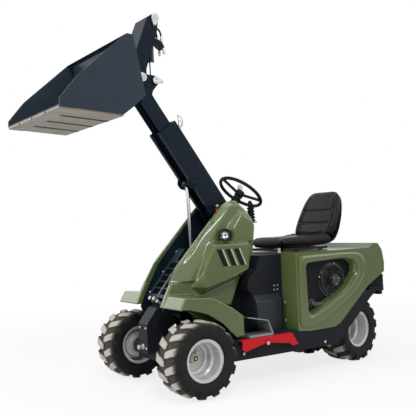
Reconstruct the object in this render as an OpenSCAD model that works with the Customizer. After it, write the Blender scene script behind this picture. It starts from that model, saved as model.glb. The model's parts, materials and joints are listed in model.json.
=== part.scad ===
/* [Wheels] */
// Radius of each tyre out to the tips of its lugs
tyre_r = 254; // [245:1:262]
// Width of each tyre at its widest
tyre_w = 250; // [236:1:254]
// Radius of the rim where the tyre's beads sit
bead_r = 127; // [122:1:130]
// Width of the rim over its two flanges
rim_w = 216; // [206:1:220]
// Distance from the front axle to the rear axle
wheelbase = 1545; // [1530:1:1546]
// Distance of a front tyre's middle from the centre plane
front_track_half = 450; // [446:1:456]
// Distance of a rear tyre's middle from the centre plane
rear_track_half = 240; // [238:1:246]
// Distance of each steering pivot from the centre plane
kingpin_y = 95; // [93:1:98]
// Angle at which the rear wheels stand when parked
steer_rest = 10; // [0:1:14]

// Lugs in each of the two rows round a tyre
lug_count = 14; // [12:1:16]
// Height of the lugs above the tread
lug_h = 17; // [12:1:20]

/* [Chassis and floor] */
// Height of the chassis pan above the ground
pan_z = 190; // [185:1:200]
// Height of the floor deck above the ground
deck_z = 335; // [330:1:340]
// Distance of each chassis side plate's outer face from the centre plane
side_y = 440; // [438:1:444]
// Thickness of the chassis plates
plate_t = 8; // [6:1:10]

/* [Tower and covers] */
// Height of the boom's pivot above the ground
pivot_z = 1228; // [1222:1:1234]
// Distance of the boom's pivot behind the front axle
pivot_back = 490; // [485:1:495]
// Distance of each tower plate's outer face from the centre plane
tower_y = 164; // [162:1:168]
// Thickness of each tower plate
tower_t = 12; // [8:1:14]
// Distance of each cover's side face from the centre plane
cover_y = 292; // [285:1:300]
// Distance of each fender's outer edge from the centre plane
fender_y = 446; // [440:1:452]

/* [Boom] */
// Angle of the raised boom above level
boom_angle = 54.5; // [50:0.5:56]
// Distance along the boom from its pivot to the hitch pivot
boom_len = 1122; // [1110:1:1140]
// Distance along the boom from its pivot to the end of its outer section
outer_len = 738; // [730:1:750]
// Width of the boom's outer section
boom_w = 150; // [146:1:152]
// Thickness of the boom's walls
boom_t = 8; // [6:1:9]

/* [Bucket] */
// Width of the bucket
bucket_w = 960; // [900:10:1000]
// Thickness of the bucket's plates
bucket_t = 8; // [6:1:10]

/* [Hood and seat] */
// Distance of the hood's sides from the centre plane
hood_y = 450; // [446:1:456]
// Thickness of the hood's moulding
hood_t = 8; // [6:1:10]
// Height of the hood's top edge above the ground
hood_z = 895; // [890:1:900]
// Width of the seat
seat_w = 464; // [440:4:480]
// Radius of the steering wheel
wheel_r = 187; // [180:1:190]
// Radius of the cooling fan's opening
fan_r = 118; // [110:1:122]

/* [Hidden] */
$fn = 48;
gap = 0.3;
run_fit = 0.05;
rear_x = -wheelbase;
flange_r = bead_r + 13;
lip_x = 893;
tail_x = -1838;
// Moves the machine so that its origin is the middle of its box
origin_x = -(lip_x + tail_x) / 2;

// Draws a side outline as a solid that runs from y0 to y1 across the machine
module slab(points, y0, y1) {
  translate([0, y1, 0]) rotate([90, 0, 0]) linear_extrude(y1 - y0) polygon(points);
}
// Draws a box between two corners
module span(a, b) { translate(a) cube([b[0] - a[0], b[1] - a[1], b[2] - a[2]]); }
// Draws a round bar along Y
module bar_y(x, z, r, y0, y1) { translate([x, y1, z]) rotate([90, 0, 0]) cylinder(h = y1 - y0, r = r); }
// Repeats a child on both sides
module both() { children(); mirror([0, 1, 0]) children(); }
module machine() { translate([origin_x, 0, 0]) children(); }

tread_r = tyre_r - lug_h;

// Outline of a tyre's section without its lugs, as distance from the axle and along it
function tyre_section() = let (w = tyre_w / 2) [
  [bead_r + gap, -rim_w / 2 + 9 + gap], [flange_r + 1, -rim_w / 2 + 9 + gap], [flange_r + 2, -rim_w / 2 - 2],
  [flange_r + 18, -w + 4], [190, -w], [tread_r - 14, -w + 11], [tread_r, -w + 34],
  [tread_r, w - 34], [tread_r - 14, w - 11], [190, w], [flange_r + 18, w - 4],
  [flange_r + 2, rim_w / 2 + 2], [flange_r + 1, rim_w / 2 - 9 - gap], [bead_r + gap, rim_w / 2 - 9 - gap]];

// The space that a tyre's lugs fill, with its rounded shoulders
module lug_space() {
  w = tyre_w / 2;
  rotate_extrude($fn = 36) polygon([[200, -w], [tyre_r - 32, -w + 1], [tyre_r - 9, -w + 15], [tyre_r, -w + 42],
    [tyre_r, w - 42], [tyre_r - 9, w - 15], [tyre_r - 32, w - 1], [200, w]]);
}

// One slanted lug of the row on the positive side, from near the middle of the tread out to the shoulder
module lug() {
  w = tyre_w / 2;
  rotate([90, 0, 90]) translate([0, 0, 205]) linear_extrude(60)
    polygon([[11, 3], [-13, 3], [-40, 60], [-72, w], [-15, w], [5, 60]]);
}

module tyre() {
  color("dimgray") rotate([-90, 0, 0]) {
    rotate_extrude($fn = 48) polygon(tyre_section());
    intersection() {
      lug_space();
      union() {
        for (i = [0:lug_count - 1]) {
          rotate([0, 0, (i + 0.5) * 360 / lug_count]) lug();
          rotate([0, 0, i * 360 / lug_count]) mirror([0, 0, 1]) lug();
        }
      }
    }
  }
}

hub_r = 36;
shaft_r = 20;
disc_y = -60;
hub_tip_y = -12;

// A deep rim with its disc near the inner side, made with its outer side toward +Y
module rim() {
  edge = rim_w / 2;
  color("silver") rotate([-90, 0, 0]) difference() {
    union() {
      rotate_extrude($fn = 96) polygon([
        [bead_r - 6, -edge + 9], [flange_r - 5, -edge + 8], [flange_r - 5, -edge], [flange_r, -edge],
        [flange_r, -edge + 8], [bead_r, -edge + 9], [bead_r, edge - 9], [flange_r, edge - 8],
        [flange_r, edge], [flange_r - 5, edge], [flange_r - 5, edge - 8], [bead_r - 6, edge - 9],
        [bead_r - 6, 20], [108, 6], [104, -34], [88, -40], [84, disc_y + 8], [0, disc_y + 8],
        [0, disc_y], [92, disc_y], [98, -46], [111, -42], [114, 2], [bead_r - 6, 10]]);
      translate([0, 0, disc_y - 22]) cylinder(h = hub_tip_y - disc_y + 22, r = hub_r);
      translate([0, 0, disc_y - 14]) cylinder(h = 16, r = 58);
      for (a = [45:90:359]) rotate([0, 0, a]) translate([46, 0, disc_y]) cylinder(h = 20, r = 8);
    }
    translate([0, 0, disc_y - 30]) cylinder(h = hub_tip_y - disc_y + 22, r = shaft_r + run_fit);
  }
}

// Puts a front wheel's piece on its axle, on the left side
module front_wheel_place() { machine() translate([0, front_track_half, tyre_r]) children(); }

// Turns the left steering parts about their pivot to the angle at which they stand
module steer_place() {
  machine() translate([rear_x, kingpin_y, 0]) rotate([0, 0, steer_rest]) children();
}
// Puts a part of the right steering on its pivot, mirrored first so that it turns the same way
module steer_place_right() {
  machine() translate([rear_x, -kingpin_y, 0]) rotate([0, 0, steer_rest]) mirror([0, 1, 0]) children();
}
module rear_wheel_place() {
  steer_place() translate([0, rear_track_half - kingpin_y, tyre_r]) children();
}
module rear_wheel_place_right() {
  steer_place_right() translate([0, rear_track_half - kingpin_y, tyre_r]) children();
}

beam_half = 230;
motor_r = 58;
motor_end = front_track_half + disc_y - 26;
shaft_end = hub_tip_y - 10;

// A wheel motor on its side of the front beam, with the shaft on which the hub turns
module hub_motor() {
  color("#26292e") translate([0, 0, tyre_r]) {
    bar_y(0, 0, motor_r, beam_half, motor_end - 30);
    bar_y(0, 0, motor_r - 14, beam_half, motor_end);
    bar_y(0, 0, shaft_r, beam_half, front_track_half + shaft_end);
    for (a = [30:60:359]) bar_y(44 * cos(a), 44 * sin(a), 6, beam_half, motor_end - 24);
  }
}

pin_r = 16;
beam_top = 320;
knuckle_h = 50;

// The rear beam between the steering pivots, on a stand under the frame
module rear_axle_beam() {
  color("#2b2f36") machine() translate([rear_x, 0, tyre_r]) difference() {
    union() {
      span([-40, -kingpin_y, -knuckle_h + 14], [40, kingpin_y, knuckle_h - 14]);
      span([-52, -30, 0], [60, 30, rear_floor_z - tyre_r]);
      both() translate([0, kingpin_y, -knuckle_h + 14]) cylinder(h = 2 * knuckle_h - 28, r = 40);
      both() span([-86, 18, -16], [-30, 30, 16]);
    }
    both() translate([0, kingpin_y, -knuckle_h]) cylinder(h = 2 * knuckle_h, r = pin_r + run_fit);
    bar_y(-74, 0, 10 + run_fit, -60, 60);
  }
}

arm_x = -100;
arm_y = -8;

// A knuckle around its pivot, with the stub shaft for its wheel and the steering arm
module knuckle() {
  color("#33373d") translate([0, 0, tyre_r]) {
    translate([0, 0, -knuckle_h]) cylinder(h = 2 * knuckle_h, r = pin_r);
    for (z = [-knuckle_h, knuckle_h - 12]) {
      translate([0, 0, z]) cylinder(h = 12, r = 34);
      translate([-34, 0, z]) cube([68, 58, 12]);
    }
    span([-34, 44, -knuckle_h], [34, 58, knuckle_h]);
    bar_y(0, 0, 30, 57, rear_track_half - kingpin_y + disc_y - 24);
    bar_y(0, 0, shaft_r, 57, rear_track_half - kingpin_y + shaft_end);
    translate([0, 0, -knuckle_h]) linear_extrude(12)
      polygon([[0, -20], [0, 50], [arm_x - 14, arm_y + 14], [arm_x - 14, arm_y - 14]]);
    translate([arm_x, arm_y, -knuckle_h]) cylinder(h = 62, r = 8);
  }
}

rod_shift = arm_x * sin(steer_rest);
pin_slot = 9.6;

// The rod between the two steering arms, with a slot for each arm's pin
module steering_rod() {
  reach = kingpin_y + arm_y;
  color("silver") machine() translate([rear_x, rod_shift, tyre_r]) difference() {
    union() {
      bar_y(-74, 0, 10, -reach + 4, reach - 4);
      both() span([arm_x - 18, reach - 16, -9], [-64, reach + 16, 9]);
    }
    both() {
      for (x = [arm_x - 1, arm_x + 11]) translate([x, reach, -10]) cylinder(h = 20, r = pin_slot);
      span([arm_x - 1, reach - pin_slot, -10], [arm_x + 11, reach + pin_slot, 10]);
    }
  }
}

rear_floor_z = 545;
bulkhead_x = -1165;
front_wall_x = -310;
diag_low_x = -1287;
diag_high_x = -1640;

side_holes_x = [-870, -950];
side_holes_z = 262;
side_hole_r = 5.5;

// The rigid frame: pan, side plates, wheel bulkhead, rear floor and the beam for the front wheels
module chassis_frame() {
  inner = side_y - plate_t;
  color("#2a2d33") machine() difference() {
    chassis_solid(inner);
    for (x = side_holes_x) bar_y(x, side_holes_z, side_hole_r, -side_y - 1, side_y + 1);
    bar_y(lift_base[0], lift_base[1], pin_r + gap, -100, 100);
  }
}

module chassis_solid(inner) {
  union() {
    span([bulkhead_x, -inner, pan_z], [front_wall_x, inner, pan_z + plate_t]);
    both() slab([[front_wall_x, pan_z], [diag_low_x + 40, pan_z], [diag_low_x, pan_z + 12],
      [diag_high_x, rear_floor_z - 40], [diag_high_x - 60, rear_floor_z], [diag_high_x - 60, rear_floor_z + 20],
      [-1430, rear_floor_z + 20], [-1300, 520], [-1035, 405], [-895, deck_z], [front_wall_x, deck_z]],
      inner, side_y);
    span([bulkhead_x, -inner, pan_z], [bulkhead_x + plate_t, inner, 440]);
    span([bulkhead_x, -panel_y + 12, 430], [bulkhead_x + plate_t, panel_y - 12, rear_floor_z]);
    span([-1800, -inner, rear_floor_z], [-1590, inner, rear_floor_z + plate_t]);
    span([-1600, -panel_y + 12, rear_floor_z], [bulkhead_x + plate_t, panel_y - 12, rear_floor_z + plate_t]);
    both() span([-1800, inner - plate_t, rear_floor_z], [diag_high_x, inner, rear_floor_z + 40]);
    both() span([front_wall_x - plate_t, tower_y + 2, pan_z], [front_wall_x, inner, deck_z - 8 - gap]);
    span([-70, -beam_half, tyre_r - 60], [70, beam_half, tyre_r + 60]);
    both() span([-465, 62, pan_z], [-70, 74, tyre_r + 60]);
  }
}

// The floor on which the driver's feet stand, open in the middle for the tower
module floor_deck() {
  inner = side_y - plate_t;
  color("#1d2129") machine() difference() {
    span([-880, -inner, deck_z - 8], [front_wall_x, inner, deck_z]);
    span([-530, -tower_y - 2, deck_z - 20], [front_wall_x + 10, tower_y + 2, deck_z + 20]);
  }
}

// A folded step outside the floor, with its tread plate
module footrest() {
  color("#8f9499") machine() {
    slab([[-430, deck_z], [-640, deck_z], [-640, 352], [-600, 440], [-596, 444], [-425, 480], [-425, 474],
      [-594, 438], [-630, 352], [-430, 352]], 330, side_y + 20);
    span([-470, 330, deck_z], [-440, 345, 465]);
  }
}

// The red channel that locks the raised boom, stowed on the chassis side
module boom_lock() {
  t = 5;
  color("#c0262c") machine() difference() {
    slab([[-350, 268], [-378, 252], [-560, 292], [-770, 262], [-792, 242], [-848, 248], [-790, 332],
      [-560, 333], [-352, 330]], side_y + gap, side_y + 42);
    slab([[-340, 262], [-378, 252 - t], [-560, 292 - t], [-770, 262 - t], [-792, 200], [-860, 200], [-790 - t, 332 - 2 * t],
      [-560, 333 - 2 * t], [-340, 330 - 2 * t]], side_y + gap - 1, side_y + 42 - t);
  }
  color("silver") machine() bar_y(-564, 290, 16, side_y + 42, side_y + 54);
}

panel_start = [14, 640];
panel_dir = [-0.643, 0.766];
panel_len = 430;
grille_rows = 5;
hole_w = 116;
hole_pitch = 57;
hole_bar = 9;
panel_angle = atan2(panel_dir[1], panel_dir[0]);

// Places a piece on the sloping front panel, with X along the slope and Z out of it
module on_panel() {
  machine() translate([panel_start[0], 0, panel_start[1]]) rotate([0, -panel_angle, 0]) children();
}

// The sloping front panel with its two columns of openings and the slot for the lift cylinder
module grille_panel() {
  inner = tower_y - tower_t - gap;
  color("#20323a") on_panel() difference() {
    translate([-14, -inner, 0]) cube([panel_len, 2 * inner, 6]);
    for (row = [0:grille_rows - 1]) for (side = [-1, 1])
      translate([12 + row * hole_pitch, side * (hole_w / 2 + hole_bar / 2) - hole_w / 2, -1])
        cube([hole_pitch - hole_bar, hole_w, 8]);
    translate([12 + grille_rows * hole_pitch + 12, -60, -1]) cube([panel_len, 120, 8]);
  }
}

lift_base = [-300, 300];
tower_outline = [[75, 560], [30, 655], [-85, 860], [-450, 1262], [-520, 1290], [-590, 1285], [-628, 1240],
  [-628, 1150], [-575, 735], [-480, 520], [-480, pan_z + 8], [-250, pan_z + 8], [-250, 520], [60, 520]];

// The two tower plates, with the pins for the boom and the lift cylinder and the plate between them
module tower_frame() {
  inner = tower_y - tower_t;
  color("#1b222e") machine() {
    both() slab(tower_outline, inner, tower_y);
    slab([[-628, 1240], [-628, 1150], [-575, 735], [-480, 520], [-480, deck_z], [-472, deck_z], [-472, 522],
      [-567, 737], [-620, 1152], [-620, 1240]], -inner, inner);
    bar_y(-pivot_back, pivot_z, 20, -inner, inner);
    bar_y(lift_base[0], lift_base[1], pin_r, -inner, inner);
  }
}

// The post between the front wheels, with its sloping top
module front_post() {
  color("#20252e") machine() difference() {
    slab([[150, 255], [150, 455], [66, 562], [-20, 600], [-36, 600], [-70, 560], [-70, tyre_r + 60 + gap],
      [71, tyre_r + 60 + gap], [71, 255]], -62, 62);
    slab([[142, 240], [142, 452], [60, 555], [-24, 592], [-62, 556], [-62, tyre_r + 69], [79, tyre_r + 69],
      [79, 240]], -54, 54);
  }
}

cover_edge = [[30, 735], [-52, 868], [-432, 1262], [-480, 1290], [-560, 1298], [-625, 1245], [-700, 1163],
  [-712, 1111], [-690, 926], [-630, 789], [-560, 737]];
cover_crease = [[-109, 740], [-197, 868], [-290, 1009], [-460, 1243], [-500, 1262], [-556, 1266], [-605, 1225],
  [-672, 1150], [-686, 1108], [-664, 930], [-610, 800], [-548, 752]];
cover_foot = [[105, 575], [62, 662], [20, 738], [-559, 738], [-470, 540], [-300, 560]];
bulge_base = [[-133, 695], [-262, 985], [-300, 1012], [-620, 1012], [-655, 930], [-600, 795], [-480, 722], [-215, 640]];
bulge_top = [[-206, 690], [-187, 796], [-288, 985], [-590, 985], [-575, 800], [-463, 757]];
brow_base = [[-400, 1000], [-400, 1088], [-540, 1228], [-640, 1190], [-684, 1112], [-652, 985]];
brow_top = [[-470, 1000], [-470, 1095], [-545, 1195], [-630, 1150], [-640, 1000]];
crease_y = 232;
lamp_at = [-404, 262, 1048];

// A form that narrows from one side outline to another further out
module swell(base, y0, top, y1) {
  hull() {
    slab(base, y0, y0 + 1);
    slab(top, y1 - 1, y1);
  }
}

// A cover over its tower plate with the fender over the tyre, made for the left side
module tower_cover() {
  y0 = tower_y + gap;
  color("#55643a") machine() difference() {
    union() {
      slab(cover_edge, y0, y0 + 12);
      swell(cover_edge, y0 + 11, cover_crease, crease_y);
      slab(cover_foot, y0, y0 + 40);
      swell(bulge_base, crease_y - 30, bulge_top, cover_y);
      swell(brow_base, crease_y - 30, brow_top, cover_y - 14);
      fender();
    }
    translate(lamp_at) rotate([0, 90, 45]) cylinder(h = 80, r = 50);
    bar_y(-575, 1256, 9, y0 - 1, y0 + 100);
    slab([[-70, 880], [-330, 1150], [-346, 1134], [-86, 864]], y0 + 20, y0 + 34);
  }
}

module fender() {
  y0 = tower_y + gap;
  difference() {
    slab([[105, 575], [60, 655], [-149, 640], [-313, 555], [-402, 490], [-402, 354], [-335, 349], [-224, 456],
      [-103, 531], [45, 573]], y0, fender_y);
    slab([[93, 560], [52, 645], [-147, 630], [-308, 546], [-392, 484], [-392, 340], [-335, 330], [-224, 440],
      [-103, 515], [45, 560]], y0 + 8, fender_y - 8);
  }
}

// A round lamp in its black ring, made for the left side
module headlamp() {
  color("#c9ccd0") machine() translate(lamp_at) rotate([0, 90, 45]) {
    difference() {
      union() {
        cylinder(h = 34, r = 46);
        for (a = [0:45:359]) rotate([0, 0, a]) translate([41, 0, 30]) cylinder(h = 9, r = 6);
      }
      translate([0, 0, 14]) cylinder(h = 26, r1 = 20, r2 = 37);
    }
  }
}

hood_front_x = -880;
console_y = 282;
panel_y = 385;
console_x = -560;
hood_outline = [[hood_front_x, 330], [hood_front_x, hood_z], [-1640, hood_z], [-1690, 930], [-1740, 925],
  [-1780, 870], [-1800, 770], [-1796, 700], [-1743, 672], [-1612, 602], [-1300, 345], [-1240, 322], [-1000, 318]];
hood_inside = [[hood_front_x - hood_t, 300], [hood_front_x - hood_t, hood_z - hood_t], [-1644, hood_z - hood_t],
  [-1692, 922], [-1736, 917], [-1772, 866], [-1792, 770], [-1789, 706], [-1740, 650], [-1612, 580], [-1296, 320],
  [-1240, 300]];
recess_outline = [[-969, 790], [-985, 815], [-1036, 822], [-1364, 835], [-1455, 815], [-1490, 780],
  [-1490, 707], [-1373, 593], [-1035, 437], [-998, 440], [-978, 465]];

rib_h = 8;
rib_outline = [[-900, 385], [-905, 860], [-930, 880], [-1500, 880], [-1570, 850], [-1590, 780], [-1585, 690],
  [-1480, 570], [-1120, 372], [-1000, 350], [-925, 352]];

// The hood over the engine, with a large recess in each side and a raised frame round it
module rear_hood() {
  color("#56663b") machine() difference() {
    union() {
      slab(hood_outline, -hood_y, hood_y);
      both() slab(rib_outline, hood_y - 1, hood_y + rib_h);
    }
    slab(hood_inside, -hood_y + hood_t, hood_y - hood_t);
    span([hood_front_x - 20, -console_y, 300], [hood_front_x + 10, console_y, hood_z - hood_t]);
    span([hood_front_x - 20, -side_y - 1, 300], [hood_front_x + 10, side_y + 1, deck_z + 1]);
    slab(recess_outline, -hood_y - rib_h - 1, hood_y + rib_h + 1);
  }
}

fan_at = [-1282, 668];

recess_mid = [-1230, 640];
function grown(k) = [for (p = recess_outline) recess_mid + k * (p - recess_mid)];

// The black panel deep behind a recess of the hood, on three stays, with the round opening for the fan
module side_panel(opening) {
  color("#15171a") machine() difference() {
    union() {
      slab(grown(1.13), panel_y - 6, panel_y);
      for (p = [[-948, 620], [-1200, 846], [-1506, 745]]) bar_y(p[0], p[1], 11, panel_y - 1, hood_y - hood_t - gap);
    }
    slab([[bulkhead_x + 40, 380], [bulkhead_x + 40, 446], [bulkhead_x - 20, rear_floor_z + plate_t + gap],
      [tail_x, rear_floor_z + plate_t + gap], [tail_x, 380]], panel_y - 10, panel_y + 1);
    if (opening) {
      bar_y(fan_at[0], fan_at[1], fan_r, 300, 500);
      bar_y(exhaust_at[0], exhaust_at[1], 24 + gap, 300, 500);
    }
    else for (i = [0:7]) span([-1420 + i * 46, 300, 640], [-1396 + i * 46, 500, 780]);
  }
}

// The shroud ring and the wire guard with the fan's motor in its middle
module fan_guard() {
  color("#1b1c1e") machine() {
    difference() {
      bar_y(fan_at[0], fan_at[1], fan_r - gap, panel_y - 11, panel_y + 22);
      bar_y(fan_at[0], fan_at[1], fan_r - 6, panel_y - 50, panel_y + 30);
    }
    difference() {
      bar_y(fan_at[0], fan_at[1], fan_r + 16, panel_y + gap, panel_y + 5);
      bar_y(fan_at[0], fan_at[1], fan_r - 6, panel_y - 50, panel_y + 30);
      for (a = [0:90:359]) translate([fan_at[0], 0, fan_at[1]]) rotate([0, a + 12, 0])
        span([fan_r + 2, 300, 34], [fan_r + 40, 500, 200]);
    }
    for (r = [52:11:fan_r - 6]) difference() {
      bar_y(fan_at[0], fan_at[1], r + 1.4, panel_y + 16, panel_y + 20);
      bar_y(fan_at[0], fan_at[1], r - 1.4, panel_y + 15, panel_y + 21);
    }
    for (a = [0:45:179]) translate([fan_at[0], 0, fan_at[1]]) rotate([0, a, 0]) {
      slab([[-fan_r + 3, -1.5], [fan_r - 3, -1.5], [fan_r - 3, 1.5], [-fan_r + 3, 1.5]], panel_y + 17, panel_y + 20);
    }
    bar_y(fan_at[0], fan_at[1], 46, panel_y + 14, panel_y + 40);
    bar_y(fan_at[0], fan_at[1], 38, panel_y + 39, panel_y + 56);
    bar_y(fan_at[0], fan_at[1], 8, panel_y - 30, panel_y + 20);
  }
}

// The fan's hub with its blades
module fan_rotor() {
  color("#202225") machine() translate([fan_at[0], 0, fan_at[1]]) {
    difference() {
      bar_y(0, 0, 38, panel_y - 28, panel_y + 8);
      bar_y(0, 0, 8 + run_fit, panel_y - 40, panel_y + 12);
    }
    for (a = [0:45:359]) rotate([0, a, 0]) translate([68, panel_y - 10, 0]) rotate([35, 0, 0])
      cube([72, 3, 30], center = true);
  }
}

exhaust_at = [-1065, 510];

// The silencer and its outlet, which turns to the rear behind the recess
module exhaust_pipe() {
  color("#2c2a28") machine() difference() {
    union() {
      bar_y(exhaust_at[0], exhaust_at[1], 24, 200, 398);
      bar_y(exhaust_at[0], exhaust_at[1], 60, 160, 330);
      bar_y(exhaust_at[0], exhaust_at[1], 34, panel_y + gap, panel_y + 10);
      translate([exhaust_at[0], 405, exhaust_at[1]]) sphere(r = 21);
      translate([exhaust_at[0] - 130, 420, exhaust_at[1] - 12]) rotate([0, 90, 0]) rotate([5, 0, 0])
        cylinder(h = 130, r = 19);
    }
    translate([exhaust_at[0] - 140, 420, exhaust_at[1] - 12]) rotate([0, 90, 0]) rotate([5, 0, 0])
      cylinder(h = 90, r = 16);
  }
}

// The engine as one block at its real place and size
module engine_block() {
  color("#3a3d41") machine() {
    span([-1640, -170, rear_floor_z + plate_t], [-1180, 150, 850]);
    span([-1130, -170, pan_z + plate_t], [-1000, 150, 520]);
  }
}

module rear_box() {
  color("#17191c") machine() span([-1838, -380, rear_floor_z - 35], [-1800, 380, 660]);
}

// The console under the seat, with its lower step
module seat_box() {
  color("#1c212b") machine() {
    slab([[hood_front_x - 6, deck_z], [-600, deck_z], [-600, 620], [console_x - 6, 640], [console_x - 6, 695],
      [-582, 730], [-642, 788], [-686, hood_z - hood_t - gap], [hood_front_x - 6, hood_z - hood_t - gap]],
      -console_y + 2, console_y - 2);
  }
}

seat_front = -960;
seat_pivot = [-945, 912];

// Places a piece that tips with the seat; the seat rests at zero
module seat_base() {
  color("#141518") machine() {
    difference() {
      span([-1440, -190, hood_z + 6], [seat_front, 190, hood_z + 26]);
      both() span([seat_front - 26, 171, hood_z], [seat_front + 1, 191, hood_z + 30]);
    }
    both() translate([-1400, 150, hood_z + gap]) cylinder(h = 8, r = 18);
    both() difference() {
      union() {
        bar_y(seat_pivot[0], seat_pivot[1], 14, 150, 170);
        span([seat_front - 10, 150, 901], [seat_pivot[0], 170, 921]);
      }
      bar_y(seat_pivot[0], seat_pivot[1], 8 + run_fit, 140, 180);
    }
  }
}

module seat_hinge() {
  color("silver") machine() both() {
    bar_y(seat_pivot[0], seat_pivot[1], 8, 140, 190);
    span([seat_pivot[0] - 12, 176, hood_z], [seat_pivot[0] + 12, 190, 926]);
  }
}

module seat() {
  w = seat_w / 2;
  color("#17181a") machine() intersection() {
    translate([-1700, 0, 0]) rotate([90, 0, 90]) linear_extrude(800) polygon([[-w + 20, 900], [w - 20, 900], [w, 960],
      [w, 1180], [w - 30, 1290], [w - 80, 1352], [w - 120, 1380], [-w + 120, 1380], [-w + 80, 1352], [-w + 30, 1290],
      [-w, 1180], [-w, 960]]);
    slab([[seat_front, 960], [seat_front - 20, hood_z + 26 + gap], [-1440, hood_z + 26 + gap],
      [-1500, 940], [-1608, 1100], [-1658, 1320],
      [-1630, 1368], [-1590, 1372], [-1550, 1300], [-1508, 1120], [-1445, 1030], [-1270, 1000], [seat_front - 30, 1015]],
      -w, w);
  }
}

wheel_at = [-742, 1367];
wheel_tilt = 38.5;

// Places a piece on the steering wheel's axis, with Z toward the driver
module on_wheel() {
  machine() translate([wheel_at[0], 0, wheel_at[1]]) rotate([0, -wheel_tilt, 0]) children();
}

module steering_wheel() {
  color("#18191b") on_wheel() difference() {
    union() {
      rotate_extrude($fn = 96) translate([wheel_r - 13, 0]) circle(r = 13);
      translate([0, 0, -40]) cylinder(h = 44, r = 34);
      for (a = [0, 120, 240]) rotate([0, 0, a]) span([20, -12, -26], [wheel_r - 16, 12, -14]);
      for (a = [0, 120, 240]) rotate([0, 0, a]) span([wheel_r - 24, -12, -26], [wheel_r - 12, 12, 0]);
    }
    translate([0, 0, -50]) cylinder(h = 40, r = 10 + run_fit);
  }
}

module steering_column() {
  color("#1f2023") on_wheel() {
    translate([0, 0, -160]) cylinder(h = 144, r = 10);
    translate([0, 0, -164]) cylinder(h = 116, r = 26);
    for (i = [0:3]) translate([0, 0, -138 + i * 22]) cylinder(h = 12, r = 34);
  }
  color("#1f2023") machine()
    slab([[-628 - gap, 1165], [-628 - gap, 1255], [-650, 1262], [-672, 1235], [-640, 1180]], -24, 24);
}

lever_at = [-738, 120];
lever_z = 1128;

// The control lever on its bracket behind the tower, with a ribbed boot at its foot
module control_lever() {
  color("#141518") machine() {
    span([lever_at[0] - 40, lever_at[1] - 30, lever_z], [-628 - gap, lever_at[1] + 26, lever_z + 8]);
    span([-640, lever_at[1] - 30, lever_z], [-628 - gap, lever_at[1] + 26, lever_z + 80]);
    translate([lever_at[0], lever_at[1], lever_z]) {
      cylinder(h = 74, r = 20);
      for (i = [0:4]) translate([0, 0, 8 + i * 14]) cylinder(h = 8, r = 30 - 2 * i);
      cylinder(h = 150, r = 6);
      translate([0, 0, 152]) sphere(r = 16);
    }
  }
}

// Places a piece on the boom, with X along it from its pivot and Z out of its upper side
module on_boom() {
  machine() translate([-pivot_back, 0, pivot_z]) rotate([0, -boom_angle, 0]) children();
}

boom_top = 91;
boom_low = -72;
inner_gap = 12;
inner_w = boom_w - 2 * boom_t - 2 * inner_gap;
inner_top = 50;
inner_low = -52;
head_pin = [boom_len, 46];
horn_pin = [boom_len - 77, 140];
lift_eye = [300, -70];
eye_r = 26;

// A boom section open along its underside
module channel(x0, x1, w, z0, z1, t) {
  difference() {
    span([x0, -w / 2, z0], [x1, w / 2, z1]);
    span([x0 - 1, -w / 2 + t, z0 - 1], [x1 + 1, w / 2 - t, z1 - t]);
  }
}

module boom_outer() {
  half = boom_w / 2;
  color("#171e2a") on_boom() difference() {
    union() {
      channel(-30, outer_len, boom_w, boom_low, boom_top, boom_t);
      both() slab([[-30, boom_low], [-58, -30], [-60, 30], [-30, boom_top]], half - boom_t, half);
      both() span([40, half - 28, boom_low], [outer_len, half, boom_low + boom_t]);
      both() slab([[250, boom_low], [278, -98], [322, -98], [350, boom_low]], half - boom_t, half);
      bar_y(0, 0, 36, -half, half);
      both() bar_y(lift_eye[0], lift_eye[1], 20, half - 1, half + 8);
      span([34, -14, -14], [70, 14, 30]);
      both() for (x = [60, outer_len - 70]) {
        span([x, inner_w / 2 + gap, inner_low], [x + 60, half, inner_low + 30]);
      }
      both() span([outer_len - 70, inner_w / 2 + gap, inner_top - 30], [outer_len - 10, half, inner_top]);
      span([outer_len - 70, -40, inner_top + gap], [outer_len - 10, 40, boom_top]);
      both() span([outer_len - 70, inner_w / 2 - 10, boom_low], [outer_len - 10, half, inner_low - gap]);
    }
    bar_y(0, 0, 20 + run_fit, -half - 1, half + 1);
  }
}

head_w = inner_w / 2;

module boom_inner() {
  color("#1a212d") on_boom() difference() {
    union() {
      channel(250, boom_len - 142, inner_w, inner_low, inner_top, 7);
      span([boom_len - 152, -head_w, inner_top - 7], [boom_len - 60, head_w, inner_top]);
      both() slab([[boom_len - 222, inner_low], [boom_len - 162, inner_low], [boom_len - 22, 6], [boom_len + 8, 8], [boom_len + 32, 24],
        [boom_len + 38, 46], [boom_len + 30, 70], [boom_len + 14, 84], [boom_len - 37, 150], [boom_len - 62, 172],
        [boom_len - 92, 170], [boom_len - 110, 140], [boom_len - 132, inner_top], [boom_len - 222, inner_top]],
        head_w - 7, head_w);
      bar_y(head_pin[0], head_pin[1], 30, -head_w, -head_w + 22);
      bar_y(head_pin[0], head_pin[1], 30, head_w - 22, head_w);
      both() bar_y(horn_pin[0], horn_pin[1], 22, 22, head_w);
      span([boom_len - 112, -head_w, 60], [boom_len - 104, head_w, 100]);
      span([boom_len - 162, -head_w, -20], [boom_len - 147, head_w, inner_top - 7]);
      both() bar_y(horn_pin[0], horn_pin[1], 12, head_w, head_w + 16);
      both() bar_y(horn_pin[0], horn_pin[1], 22, head_w, head_w + 8);
    }
    bar_y(head_pin[0], head_pin[1], pin_r + run_fit, -head_w - 1, head_w + 1);
  }
}

tele_z = 8;

module telescope_barrel() {
  color("#101114") on_boom() translate([70, 0, tele_z]) rotate([0, 90, 0]) difference() {
    cylinder(h = 450, r = 25);
    translate([0, 0, 40]) cylinder(h = 390, r = 18);
    translate([0, 0, 40]) cylinder(h = 420, r = 12 + run_fit);
  }
}

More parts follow.
